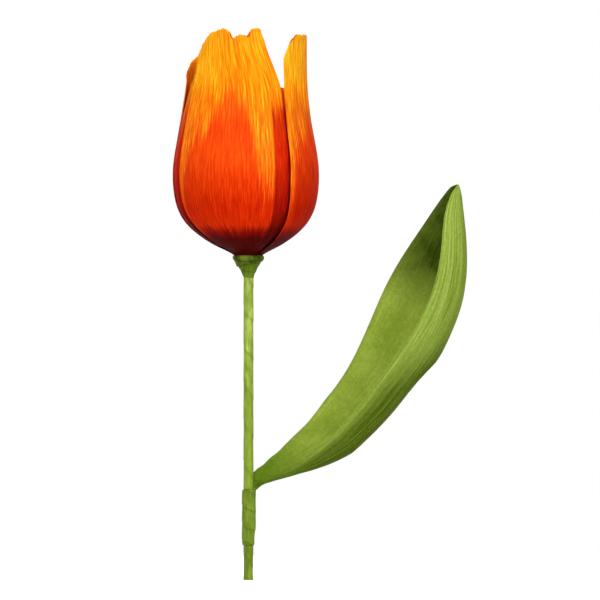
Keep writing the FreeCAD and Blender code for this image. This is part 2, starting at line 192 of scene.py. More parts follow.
def streaks(seed: int, across: Array, along: Array, cells: int, reach: int) -> Array:
    """Smooth noise from nought to one, stretched along the fibres.

    Args:
        seed: Fixes the pattern.
        across: Shares across the fibres, nought to one.
        along: Shares along the fibres, nought to one.
        cells: How many cells lie across.
        reach: How many cells lie along.

    Returns:
        A value for each pair of shares.
    """
    table = np.random.default_rng(seed).random((reach + 2, cells + 2))
    x, y = np.clip(across, 0, 1) * cells, np.clip(along, 0, 1) * reach
    i, j = np.floor(y).astype(int), np.floor(x).astype(int)
    u, v = smooth(x - j), smooth(y - i)
    low = table[i, j] * (1 - u) + table[i, j + 1] * u
    high = table[i + 1, j] * (1 - u) + table[i + 1, j + 1] * u
    return low * (1 - v) + high * v


def ridges(seed: int, across: Array, along: Array, rows: Rows) -> Array:
    """Pleats, ribs and fibres on top of each other.

    Args:
        seed: Fixes the patterns.
        across: Shares across the fibres, nought to one.
        along: Shares along the fibres, nought to one.
        rows: Cells across, cells along and height of each kind.

    Returns:
        Their height for each pair of shares.
    """
    return sum(
        height * streaks(seed + i, across, along, cells, reach)
        for i, (cells, reach, height) in enumerate(rows)
    )


def inward(share: Array, reach: float) -> Array:
    """Nought at both ends of a way, where its share is nought or one, and one past a reach."""
    return smooth(np.minimum(share, 1 - share), 0.0, reach)


def units(vectors: Array) -> Array:
    """Vectors of length one, the same way as those given."""
    return vectors / np.maximum(np.linalg.norm(vectors, axis=-1, keepdims=True), 1e-9)


def facing(points: Array) -> Array:
    """Unit normals of a grid of points, where its rows run up and its columns to the right."""
    return units(np.cross(np.gradient(points, axis=1), np.gradient(points, axis=0)))


def quads(at: Array, flip: bool = False) -> Array:
    """Corners of the quads of a grid of point numbers."""
    corners = at[:-1, :-1], at[:-1, 1:], at[1:, 1:], at[1:, :-1]
    return np.stack(corners[::-1] if flip else corners, axis=-1).reshape(-1, 4)


def add_object(
    name: str,
    points: Array,
    faces: Array | list = (),
    marks: dict[str, Array] | None = None,
    chart: Array | None = None,
    edges: list = (),
) -> Piece:
    """Makes an object whose place is in its mesh.

    Args:
        name: The piece's name.
        points: Points in millimetres.
        faces: Corners of each face.
        marks: Values to keep on the points, by name; a value may be a number or a vector.
        chart: The place of each point on the piece's own map.
        edges: Pairs of points, for pieces made of lines.

    Returns:
        The new object, in the scene.
    """
    mesh = bpy.data.meshes.new(name)
    mesh.from_pydata((points * METRE).tolist(), edges, np.asarray(faces).tolist())
    if chart is not None:
        layer = mesh.uv_layers.new(name="UVMap")
        corner = np.zeros(len(mesh.loops), np.int32)
        mesh.loops.foreach_get("vertex_index", corner)
        layer.data.foreach_set("uv", chart[corner].astype(np.float32).ravel())
    for mark, values in (marks or {}).items():
        kind, reads = ("FLOAT_VECTOR", "vector") if values.ndim == 2 else ("FLOAT", "value")
        kept = mesh.attributes.new(mark, kind, "POINT")
        kept.data.foreach_set(reads, values.astype(np.float32).ravel())
    mesh.polygons.foreach_set("use_smooth", [True] * len(mesh.polygons))
    mesh.update()
    made = bpy.data.objects.new(name, mesh)
    bpy.context.scene.collection.objects.link(made)
    return made


def closed_sheet(
    name: str, outside: Array, inside: Array, marks: dict[str, Array], across: Array, along: Array
) -> Piece:
    """A thin closed sheet between two grids of points alike.

    Args:
        name: The piece's name.
        outside: The grid that faces outwards.
        inside: The grid behind it.
        marks: Values for each point of one grid; both sides keep them, but one whose name ends
            in _inside gives the inside its own.
        across: The first map coordinate of each point of one grid.
        along: The second one.

    Returns:
        The new object, with a mark "inner" that is one on the inside.
    """
    at = np.arange(across.size).reshape(across.shape)
    rim = np.concatenate([at[0, :], at[1:, -1], at[-1, -2::-1], at[-2::-1, 0]])
    strip = np.stack([rim[1:], rim[:-1], rim[:-1] + at.size, rim[1:] + at.size], axis=-1)
    both = {mark: np.tile(values.ravel(), 2) for mark, values in marks.items()}
    both["inner"] = np.repeat([0.0, 1.0], at.size)
    for mark in [mark for mark in marks if mark.endswith("_inside")]:
        both[mark.removesuffix("_inside")][at.size:] = both.pop(mark)[:at.size]
    chart = np.stack([np.tile(across.ravel(), 2), np.tile(along.ravel(), 2)], axis=-1)
    points = np.concatenate([outside.reshape(-1, 3), inside.reshape(-1, 3)])
    faces = np.concatenate([quads(at), quads(at + at.size, True), strip])
    return add_object(name, points, faces, both, chart)


def dress(piece: Piece, finish: Finish) -> None:
    """Gives a piece its one material."""
    piece.data.materials.clear()
    piece.data.materials.append(finish.material())


def settle(
    piece: Piece, body: Body | None, slot: str, node: str = "", finish: Finish | None = None
) -> None:
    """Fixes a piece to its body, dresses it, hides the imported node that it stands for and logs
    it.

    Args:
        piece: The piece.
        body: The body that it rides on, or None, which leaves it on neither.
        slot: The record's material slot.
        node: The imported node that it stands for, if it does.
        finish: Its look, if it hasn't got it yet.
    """
    if finish is not None:
        dress(piece, finish)
    if body is not None:
        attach(piece, body.value)
    if node:
        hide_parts(node)
    LOG.info("%s: %d faces, %s", piece.name, len(piece.data.polygons), slot)


class Graph:
    """The nodes of one tree, added and linked in one call each."""

    def __init__(self, tree: bpy.types.NodeTree) -> None:
        """Takes the tree that the nodes go in."""
        self.tree = tree

    def add(self, kind: str, feeds: dict | None = None, **settings: object) -> Node:
        """Adds a node.

        Args:
            kind: The node's type.
            feeds: For inputs by name or number, a socket to link or a value to set.
            **settings: Properties of the node.

        Returns:
            The new node.
        """
        node = self.tree.nodes.new(kind)
        for name, value in settings.items():
            setattr(node, name, value)
        for key, value in (feeds or {}).items():
            if isinstance(value, Socket):
                self.tree.links.new(value, node.inputs[key])
            else:
                node.inputs[key].default_value = value
        return node

    def out(self, kind: str, feeds: dict | None = None, **settings: object) -> Socket:
        """Adds a node and gives its first output."""
        return self.add(kind, feeds, **settings).outputs[0]

    def math(self, work: str, first: object, second: object = 0.0, held: bool = False) -> Socket:
        """A sum of two values, held between nought and one if asked."""
        return self.out("ShaderNodeMath", {0: first, 1: second}, operation=work, use_clamp=held)

    def plus(self, first: object, second: object) -> Socket:
        """One value added to another."""
        return self.math("ADD", first, second)

    def less(self, first: object, second: object) -> Socket:
        """One value less another."""
        return self.math("SUBTRACT", first, second)

    def times(self, first: object, second: object) -> Socket:
        """One value multiplied by another."""
        return self.math("MULTIPLY", first, second)

    def weigh(self, first: object, share: object, second: object, other: object) -> Socket:
        """Two values added up, each multiplied by its own share."""
        return self.plus(self.times(first, share), self.times(second, other))

    def vector(self, work: str, first: object, second: object) -> Socket:
        """A sum of two vectors, or of a vector and a number where it is scaled."""
        feeds = {0: first, "Scale" if work == "SCALE" else 1: second}
        return self.out("ShaderNodeVectorMath", feeds, operation=work)

    def span(
        self, value: object, low: float, high: float, to_low: float = 0.0, to_high: float = 1.0
    ) -> Socket:
        """A smooth step of a value from one range to another, held at both ends."""
        feeds = {0: value, 1: low, 2: high, 3: to_low, 4: to_high}
        return self.out("ShaderNodeMapRange", feeds, interpolation_type="SMOOTHSTEP")

    def noise(self, place: object, scale: float, detail: float = 3.0, rough: float = 0.6) -> Socket:
        """Cloudy noise from nought to one at a place."""
        feeds = {"Vector": place, "Scale": scale, "Detail": detail, "Roughness": rough}
        return self.out("ShaderNodeTexNoise", feeds)

    def grain(
        self, place: object, stretch: Place, scale: float = 1.0, detail: float = 3.0,
        rough: float = 0.6,
    ) -> Socket:
        """Noise at a place whose coordinates are each scaled first."""
        stretched = self.out("ShaderNodeMapping", {"Vector": place, "Scale": stretch})
        return self.noise(stretched, scale, detail, rough)

    def place(self, name: str = "Object") -> Socket:
        """The place that a surface is coloured by, on the piece's mesh or on its map."""
        return self.add("ShaderNodeTexCoord").outputs[name]

    def mark(self, name: str) -> Socket:
        """A value kept on the piece's own points, for a finish."""
        return self.add("ShaderNodeAttribute", attribute_name=name).outputs["Fac"]

    def kept(self, name: str, kind: str = "FLOAT") -> Socket:
        """A value kept on the piece's own points, for a node tool."""
        return self.out("GeometryNodeInputNamedAttribute", {"Name": name}, data_type=kind)

    def ramp(self, value: object, stops: Stops) -> Socket:
        """A colour that runs through stops as a value goes from nought to one.

        Args:
            value: What the colour follows.
            stops: Places on the ramp, and the colour at each.

        Returns:
            The colour.
        """
        node = self.add("ShaderNodeValToRGB", {0: value})
        line = node.color_ramp.elements
        while len(line) < len(stops):
            line.new(1.0)
        for stop, (place, colour) in zip(line, stops):
            stop.position, stop.color = place, colour
        return node.outputs[0]

    def blend(self, share: object, first: object, second: object, kind: str = "MIX") -> Socket:
        """A colour mixed from two."""
        feeds = {0: share, 6: first, 7: second}
        return self.add("ShaderNodeMix", feeds, data_type="RGBA", blend_type=kind).outputs[2]

    def tint(
        self, colour: object, value: object, span: Span, tints: Tints, share: float = 1.0
    ) -> Socket:
        """A colour multiplied by one of two tints or a mix of them.

        Args:
            colour: The colour.
            value: What the tint follows.
            span: The values at which it is the first tint and the second.
            tints: The two tints.
            share: How much of the tint the colour takes.

        Returns:
            The tinted colour.
        """
        return self.blend(share, colour, self.blend(self.span(value, *span), *tints), "MULTIPLY")

    def bump(self, height: object, distance: float, under: object | None = None) -> Socket:
        """A surface roughened by a height, whose full step is a distance in metres."""
        feeds = {"Height": height, "Distance": distance, "Strength": 1.0}
        return self.out("ShaderNodeBump", feeds | ({} if under is None else {"Normal": under}))


@dataclass(frozen=True)
class Finish:
    """A surface's look, made once as a material.

    Attributes:
        name: The material's name.
        gloss: How strongly the surface shines.
    """

    name: str
    gloss: float = 0.3

    def material(self) -> bpy.types.Material:
        """Makes the material when it is first asked for.

        Returns:
            The material.
        """
        known = bpy.data.materials.get(self.name)
        if known is not None:
            return known
        made = bpy.data.materials.new(self.name)
        made.use_nodes = True
        shader = made.node_tree.nodes["Principled BSDF"]
        shader.inputs["Specular IOR Level"].default_value = self.gloss
        sockets = self.surface(Graph(made.node_tree), shader)
        for name, value in zip(("Base Color", "Roughness", "Normal"), sockets):
            made.node_tree.links.new(value, shader.inputs[name])
        return made

    def surface(self, graph: Graph, shader: Node) -> Surface:
        """Builds the finish.

        Args:
            graph: The material's nodes.
            shader: The surface's shader, for what is the same all over.

        Returns:
            Its colour, its roughness and its normal.
        """
        raise NotImplementedError


@dataclass(frozen=True)
class PetalHusk(Finish):
    """Dyed husk: red over the belly, orange where the flame ends, yellow tips, and a maroon at the
    tie that is partly painted shade.

    The piece's points carry "height", the share of the cup's rise, "blaze", how far they are above
    the red dye's edge, "deep", the share of a dark colour that is partly dark dye and partly
    painted shade, and "gold", the share of yellow dye.

    Attributes:
        fibres: Fibres across a petal.
        wander: How far the dyes run up and down along the fibres.
        red: The red dye from the cup's underside to its tip; its maroon at the underside is partly
            painted shade.
        orange: The orange dye.
        dark: The dark colour, partly dark dye and partly painted shade.
        yellow: The yellow dye.
        fibre_tints: What a fibre's groove and its back multiply the dye by: the fibres' own tone,
            with painted shade in the grooves and a painted sheen on the backs.
        hair_tints: The same for the finest fibres, whose pale backs are a painted satin highlight.
    """

    fibres: float = 74.0
    wander: float = 0.42
    # The lowest stops, maroon at the cup's underside, are partly painted shade.
    red: Stops = dyes(
        (0.0, 74, 2, 2), (0.06, 88, 3, 2), (0.088, 150, 14, 2), (0.118, 222, 42, 3),
        (0.2, 206, 36, 2), (0.32, 226, 54, 4), (0.42, 238, 68, 8), (0.56, 242, 66, 8),
        (0.7, 242, 84, 8), (1.0, 248, 130, 8),
    )
    orange: Stops = dyes(
        (0.1, 212, 48, 4), (0.22, 226, 68, 6), (0.34, 242, 98, 12), (0.55, 248, 115, 14),
        (0.72, 250, 118, 6), (0.86, 250, 124, 6), (1.0, 250, 132, 12),
    )
    # The dark colour, partly dark dye and partly painted shade.
    dark: Stops = dyes(
        (0.0, 40, 2, 2), (0.1, 84, 3, 2), (0.2, 150, 8, 2), (0.45, 190, 24, 4),
        (0.62, 196, 46, 6), (0.78, 216, 108, 10), (1.0, 226, 132, 20),
    )
    yellow: Colour = paint(255, 198, 28)
    fibre_tints: Tints = ((0.80, 0.64, 0.6, 1), (1.14, 1.3, 1.4, 1))
    hair_tints: Tints = ((0.80, 0.66, 0.64, 1), (1.18, 1.6, 2.2, 1))

    def surface(self, graph: Graph, shader: Node) -> Surface:
        """Builds the dyed husk.

        Args:
            graph: The material's nodes.
            shader: The surface's shader; not used here.

        Returns:
            Its colour, its roughness and its normal.
        """
        chart, height = graph.place("UV"), graph.mark("height")
        broad = graph.grain(chart, (self.fibres * 0.27, 3.0, 1), detail=2.0, rough=0.5)
        fibre = graph.grain(chart, (self.fibres, 7.0, 1))
        hair = graph.grain(chart, (self.fibres * 3.0, 17.0, 1), detail=2.0)
        run = graph.times(graph.less(graph.weigh(broad, 0.35, fibre, 0.65), 0.5), self.wander)
        lift = graph.plus(height, graph.times(run, 0.13))
        red, orange, dark = (graph.ramp(lift, dye) for dye in (self.red, self.orange, self.dark))
        over = graph.span(graph.plus(graph.mark("blaze"), run), -0.085, 0.075)
        # The deep mark is partly dark dye and partly painted shade.
        colour = graph.blend(graph.mark("deep"), graph.blend(over, red, orange), dark)
        gold = graph.plus(graph.span(fibre, 0.5, 0.72, 0.0, 0.3), graph.mark("gold"))
        gold = graph.times(graph.times(gold, over), graph.span(height, 0.15, 0.5, 0.2, 1.0))
        colour = graph.blend(gold, colour, self.yellow)
        # The fibres' own tone, with painted shade in their grooves and a painted sheen on their
        # backs.
        colour = graph.tint(colour, fibre, (0.3, 0.68), self.fibre_tints)
        colour = graph.tint(colour, hair, (0.3, 0.72), self.hair_tints)
        normal = graph.bump(hair, 0.00005, graph.bump(fibre, 0.00012))
        return colour, graph.span(hair, 0.3, 0.7, 0.42, 0.6), normal


@dataclass(frozen=True)
class LeafHusk(Finish):
    """Green husk: ribbed along the leaf outside, smooth and mottled inside.

    The piece's points carry "inner", which is one inside, "rise", the share of the way to the
    tip, "shade", the share of painted shade, and "rim", which is one at the sheet's edges.

    Attributes:
        ribs: Ribs across the leaf.
        outside: The outside's dye, from between the ribs to their backs, with painted shade between
            the ribs.
        inside: The inside's dye, from its darkest patches to its lightest.
        deep: The colours of the painted shade, outside and inside.
        root_dye: The dye at the root.
        rim_dye: The dye along the edges.
        specks: What the husk's specks multiply the dye by.
    """

    ribs: float = 46.0
    outside: Stops = dyes(
        (0.0, 104, 128, 38), (0.4, 135, 158, 58), (0.7, 150, 171, 74), (1.0, 174, 190, 102)
    )
    inside: Stops = dyes((0.0, 130, 154, 46), (0.5, 144, 166, 58), (1.0, 156, 176, 68))
    deep: Tints = (paint(70, 90, 4), paint(48, 68, 2))
    root_dye: Colour = paint(82, 112, 6)
    rim_dye: Colour = paint(92, 112, 36)
    specks: Tints = (paint(230, 230, 222), WHITE)

    def surface(self, graph: Graph, shader: Node) -> Surface:
        """Builds the green husk.

        Args:
            graph: The material's nodes.
            shader: The surface's shader; not used here.

        Returns:
            Its colour, its roughness and its normal.
        """
        chart, place = graph.place("UV"), graph.place()
        rib = graph.grain(chart, (self.ribs, 3.4, 1), rough=0.62)
        hair = graph.grain(chart, (self.ribs * 3.3, 11.0, 1), detail=2.0)
        cloud, speck = graph.noise(place, 120.0), graph.noise(place, 1100.0, 2.0)
        inner, shade = graph.mark("inner"), graph.mark("shade")
        wavy = graph.weigh(rib, 0.7, hair, 0.3)
        mottle = graph.weigh(cloud, 0.6, hair, 0.4)
        # Between the ribs the outside is darker: its own streaks, with painted shade in the
        # grooves.
        outside = graph.ramp(graph.span(wavy, 0.3, 0.7), self.outside)
        inside = graph.ramp(graph.span(mottle, 0.34, 0.66), self.inside)
        colour = graph.blend(inner, outside, inside)
        streaky = graph.blend(inner, graph.span(wavy, 0.2, 0.8), mottle)
        # The shade mark is painted shade, broken up by the streaks where it lies.
        uneven = graph.times(graph.less(streaky, 0.5), 1.5)
        uneven = graph.times(uneven, graph.span(shade, 0.0, 0.3))
        shade = graph.math("ADD", shade, uneven, True)
        colour = graph.blend(shade, colour, graph.blend(inner, *self.deep))
        root = graph.span(graph.mark("rise"), 0.0, 0.2, 0.85, 0.0)
        colour = graph.blend(root, colour, self.root_dye)
        colour = graph.blend(graph.times(graph.mark("rim"), 0.35), colour, self.rim_dye)
        colour = graph.tint(colour, speck, (0.3, 0.7), self.specks, 0.8)
        ribbed = graph.times(rib, graph.less(1.0, graph.times(inner, 0.8)))
        normal = graph.bump(hair, 0.00004, graph.bump(ribbed, 0.0002))
        return colour, graph.span(cloud, 0.3, 0.7, 0.5, 0.66), normal


@dataclass(frozen=True)
class FloralTape(Finish):
    """Waxed crepe tape, finely creased along the stem and darker in its laps.

    The piece's points carry "lap", the share of painted shade, which is highest where a turn ends
    on the turn below it, and "rise", their height in metres.

    Attributes:
        pale: Its colour where it is stretched.
        deep: Its colour where its layers are thick.
        lap_tone: Its colour in the shade of a lap.
        crease: Creases in a metre round the stem.
        fall: How much of its deep colour it takes near the leaf.
        leaf_span: The heights between which that ends.
        creases: What the creases and the crests between them multiply the colour by: painted shade
            in the creases.
    """

    pale: Colour = WHITE
    deep: Colour = WHITE
    lap_tone: Colour = WHITE
    crease: float = 1500.0
    fall: float = 0.0
    leaf_span: Span = (0.04, 0.08)
    creases: Tints = (paint(206, 210, 196), WHITE)

    def surface(self, graph: Graph, shader: Node) -> Surface:
        """Builds the tape.

        Args:
            graph: The material's nodes.
            shader: The surface's shader; not used here.

        Returns:
            Its colour, its roughness and its normal.
        """
        place = graph.place()
        patch = graph.grain(place, (1, 1, 0.35), 420.0)
        crepe = graph.grain(place, (1, 1, 0.16), self.crease, rough=0.65)
        leafy = graph.span(graph.mark("rise"), *self.leaf_span, self.fall, 0.0)
        stretched = graph.math("SUBTRACT", graph.span(patch, 0.32, 0.68), leafy, True)
        colour = graph.ramp(stretched, ((0.0, self.deep), (1.0, self.pale)))
        # Painted shade under the laps.
        colour = graph.blend(graph.mark("lap"), colour, self.lap_tone)
        # Painted shade in the creases.
        colour = graph.tint(colour, crepe, (0.3, 0.7), self.creases, 0.8)
        return colour, graph.span(patch, 0.3, 0.7, 0.5, 0.68), graph.bump(crepe, 0.00007)


@dataclass(frozen=True)
class PlainGrain(Finish):
    """A grained surface on the object's own coordinates: wood, thread, gathered husk or paint.

    Attributes:
        low: Its colour in the grain.
        high: Its colour between.
        stretch: How the grain is stretched along x, y and z.
        scale: How fine the grain is, in cells a metre.
        relief: The grain's depth in metres.
        polish: Its lowest and its highest roughness.
        metal: The share of metal under a thin coat.
    """

    low: Colour = WHITE
    high: Colour = WHITE
    stretch: Place = (1, 1, 1)
    scale: float = 500.0
    relief: float = 0.00003
    polish: Span = (0.5, 0.7)
    metal: float = 0.0

    def surface(self, graph: Graph, shader: Node) -> Surface:
        """Builds the grained surface.

        Args:
            graph: The material's nodes.
            shader: The surface's shader.

        Returns:
            Its colour, its roughness and its normal.
        """
        shader.inputs["Metallic"].default_value = self.metal
        grain = graph.grain(graph.place(), self.stretch, self.scale, 4.0, 0.62)
        colour = graph.ramp(graph.span(grain, 0.3, 0.7), ((0.0, self.low), (1.0, self.high)))
        return colour, graph.span(grain, 0.3, 0.7, *self.polish), graph.bump(grain, self.relief)


PETAL_HUSK = PetalHusk("petal_husk_dyed", 0.008)
LEAF_HUSK = LeafHusk("leaf_husk_green", 0.03)
STEM_TAPE = FloralTape(
    "floral_tape_light", 0.06, paint(190, 210, 98), paint(138, 162, 56), paint(116, 142, 40),
    fall=1.0,
)
NECK_TAPE = FloralTape(
    "floral_tape_neck", 0.06, paint(112, 138, 34), paint(84, 110, 16), paint(70, 92, 12), 1300.0
)
LOWER_TAPE = FloralTape(
    "floral_tape_lower", 0.06, paint(128, 150, 46), paint(102, 124, 30), paint(90, 112, 26), 1300.0
)
CALYX_TAPE = FloralTape(
    "floral_tape_calyx", 0.03, paint(124, 138, 48), paint(58, 76, 8), paint(40, 52, 6), 1000.0
)
STICK_WOOD = PlainGrain(
    "stick_wood", 0.3, paint(176, 140, 92), paint(214, 184, 134), (1, 1, 0.06), 2600.0, 0.00004
)
TIE_THREAD = PlainGrain(
    "tie_thread", 0.2, paint(58, 68, 28), paint(104, 116, 52), (0.3, 0.3, 1), 5200.0, 0.00006,
    (0.7, 0.9),
)
TAIL_HUSK = PlainGrain(
    "gathered_husk", 0.3, paint(88, 112, 26), paint(128, 152, 52), (1, 1, 0.12), 3400.0, 0.00005
)
WIRE_PAINT = PlainGrain(
    "painted_wire", 0.4, paint(66, 88, 34), paint(88, 110, 46), (1, 1, 0.3), 1800.0, 0.00001,
    (0.4, 0.55), 0.35,
)
KEPT_NODES: dict[str, Finish] = {
    "stem_stick": STICK_WOOD,
    "leaf_husk_tail": TAIL_HUSK,
    "leaf_wire_tail": WIRE_PAINT,
    "leaf_wire": WIRE_PAINT,
    "petal_binding": TIE_THREAD,
}


@dataclass(frozen=True)
class NodeTool:
    """A geometry tree with named inputs, run once on a piece and turned into a plain mesh.

    Attributes:
        name: The tree's name.
        inputs: Each input's name and first value; "Material" is added to them.
    """

    name: str = ""
    inputs: Inputs = ()

    def tree(self) -> bpy.types.NodeTree:
        """Builds the tree when it is first asked for.

        Returns:
            The tree.
        """
        known = bpy.data.node_groups.get(self.name)
        if known is not None:
            return known
        tree = bpy.data.node_groups.new(self.name, "GeometryNodeTree")
        face = tree.interface
        face.new_socket("Geometry", in_out="INPUT", socket_type="NodeSocketGeometry")
        for name, value in self.inputs:
            kind = "NodeSocketInt" if isinstance(value, int) else "NodeSocketFloat"
            face.new_socket(name, in_out="INPUT", socket_type=kind).default_value = value
        face.new_socket("Material", in_out="INPUT", socket_type="NodeSocketMaterial")
        face.new_socket("Geometry", in_out="OUTPUT", socket_type="NodeSocketGeometry")
        graph = Graph(tree)
        entry = graph.add("NodeGroupInput").outputs
        made = graph.out("GeometryNodeRealizeInstances", {"Geometry": self.shape(graph, entry)})
        feeds = {"Geometry": made, "Material": entry["Material"]}
        graph.add("NodeGroupOutput", {0: graph.out("GeometryNodeSetMaterial", feeds)})
        return tree

    def shape(self, graph: Graph, entry: Sockets) -> Socket:
        """Builds the tree's own part.

        Args:
            graph: The tree's nodes.
            entry: The sockets of its inputs, by name.

        Returns:
            The geometry that it makes.
        """
        raise NotImplementedError

    def run(self, piece: Piece, finish: Finish, **values: float | int) -> None:
        """Runs the tree on a piece and leaves a plain mesh.

        Args:
            piece: The object whose mesh the tree takes.
            finish: What the result is finished with.
            **values: Values for inputs, named as they are but in small letters.
        """
        tree, asked = self.tree(), {**values, "material": finish.material()}
        run = piece.modifiers.new(self.name, "NODES")
        run.node_group = tree
        for item in tree.interface.items_tree:
            if item.in_out == "INPUT" and item.name.lower() in asked:
                run[item.identifier] = asked[item.name.lower()]
        now = bpy.context.evaluated_depsgraph_get()
        plain = bpy.data.meshes.new_from_object(
            piece.evaluated_get(now), preserve_all_data_layers=True, depsgraph=now
        )
        piece.modifiers.remove(run)
        before, piece.data = piece.data, plain
        bpy.data.meshes.remove(before)
        plain.name = piece.name
        plain.polygons.foreach_set("use_smooth", [True] * len(plain.polygons))


@dataclass(frozen=True)
class TapeWinding(NodeTool):
    """Winds a tube with lapped tape: each turn ends in a low step on the turn below it.

    The tube's points carry "turn", their share of a turn round it, "rise", their height in
    metres, and "skin", which is one on its outside.
    """

    name: str = "tape_winding"
    inputs: Inputs = (
        ("Pitch", 0.012), ("Lap", 0.00008), ("Crinkle", 0.00006), ("Slack", 0.15), ("Start", 0.0),
        ("Seed", 1.0),
    )

    def shape(self, graph: Graph, entry: Sockets) -> Socket:
        """Moves the tube's outside in by its laps and creases.

        Args:
            graph: The tree's nodes.
            entry: The sockets of its inputs, by name.

        Returns:
            The geometry that it makes.
        """
        skin, seed = graph.kept("skin"), entry["Seed"]
        corner = graph.out("ShaderNodeCombineXYZ", {0: seed, 1: seed})
        place = graph.vector("ADD", graph.out("GeometryNodeInputPosition"), corner)
        sway = graph.less(graph.noise(place, 130.0, 1.0, 0.5), 0.5)
        turns = graph.math("DIVIDE", graph.kept("rise"), entry["Pitch"])
        turns = graph.plus(graph.plus(turns, graph.kept("turn")), entry["Start"])
        phase = graph.math("FRACT", graph.plus(turns, graph.times(sway, entry["Slack"])))
        step, slope = graph.span(phase, 0.0, 0.05, 1.0, 0.0), graph.span(phase, 0.05, 1.0)
        crepe = graph.noise(graph.vector("MULTIPLY", place, (1, 1, 0.3)), 900.0, 2.0, 0.5)
        slope = graph.math("MAXIMUM", step, slope)
        depth = graph.times(graph.weigh(slope, entry["Lap"], crepe, entry["Crinkle"]), skin)
        normal = graph.out("GeometryNodeInputNormal")
        inward = graph.vector("SCALE", normal, graph.times(depth, -1.0))
        feeds = {"Geometry": entry["Geometry"], "Offset": inward}
        moved = graph.out("GeometryNodeSetPosition", feeds)
        # The lap mark is painted shade, darkest where a turn steps onto the one below.
        over, under = graph.span(phase, 0.0, 0.07, 0.6, 0.0), graph.span(phase, 0.8, 1.0, 0.0, 0.6)
        shade = graph.times(graph.math("MAXIMUM", over, under), skin)
        return graph.out(
            "GeometryNodeStoreNamedAttribute", {"Geometry": moved, "Name": "lap", "Value": shade},
            data_type="FLOAT", domain="POINT",
        )


@dataclass(frozen=True)
class FrayedFibres(NodeTool):
    """Stands a fine tapering fibre on each point, along its "grow" direction, more or less."""

    name: str = "frayed_fibres"
    inputs: Inputs = (
        ("Thickness", 0.00005), ("Shortest", 0.0001), ("Longest", 0.0007), ("Spread", 0.12),
        ("Seed", 1),
    )

    def shape(self, graph: Graph, entry: Sockets) -> Socket:
        """Places the fibres.

        Args:
            graph: The tree's nodes.
            entry: The sockets of its inputs, by name.

        Returns:
            The geometry that it makes.
        """
        fibre = graph.out("GeometryNodeMeshCone", {
            "Vertices": 4, "Side Segments": 2, "Radius Top": 0.15, "Radius Bottom": 1.0,
            "Depth": 1.0,
        })
        sunk = {"Geometry": fibre, "Translation": (0, 0, -0.25)}
        fibre = graph.out("GeometryNodeTransform", sunk)
        stray = graph.out(
            "FunctionNodeRandomValue", {0: (-1, -1, -1), 1: (1, 1, 1), "Seed": entry["Seed"]},
            data_type="FLOAT_VECTOR",
        )
        stray = graph.vector("SCALE", stray, entry["Spread"])
        along = graph.vector("ADD", graph.kept("grow", "FLOAT_VECTOR"), stray)
        turned = graph.out("FunctionNodeAlignRotationToVector", {"Vector": along}, axis="Z")
        length = graph.add(
            "FunctionNodeRandomValue",
            {2: entry["Shortest"], 3: entry["Longest"], "Seed": graph.plus(entry["Seed"], 7)},
            data_type="FLOAT",
        ).outputs[1]
        thick = entry["Thickness"]
        size = graph.out("ShaderNodeCombineXYZ", {0: thick, 1: thick, 2: length})
        return graph.out("GeometryNodeInstanceOnPoints", {
            "Points": entry["Geometry"], "Instance": fibre, "Rotation": turned, "Scale": size
        })


@dataclass(frozen=True)
class RaisedVeins(NodeTool):
    """Lays a round vein along each line of the mesh, as thick as its points' "girth".

    Its "Thickness" is the radius in metres of a vein whose girth is one.
    """

    name: str = "raised_veins"
    inputs: Inputs = (("Thickness", METRE), ("Sides", 6))

    def shape(self, graph: Graph, entry: Sockets) -> Socket:
        """Sweeps a round along the lines.

        Args:
            graph: The tree's nodes.
            entry: The sockets of its inputs, by name.

        Returns:
            The geometry that it makes.
        """
        line = graph.out("GeometryNodeMeshToCurve", {"Mesh": entry["Geometry"]})
        ring = {"Resolution": entry["Sides"], "Radius": 1.0}
        girth = graph.times(graph.kept("girth"), entry["Thickness"])
        return graph.out("GeometryNodeCurveToMesh", {
            "Curve": line, "Profile Curve": graph.out("GeometryNodeCurvePrimitiveCircle", ring),
            "Scale": girth, "Fill Caps": True,
        })


WINDING, FRAYING, VEINING = TapeWinding(), FrayedFibres(), RaisedVeins()


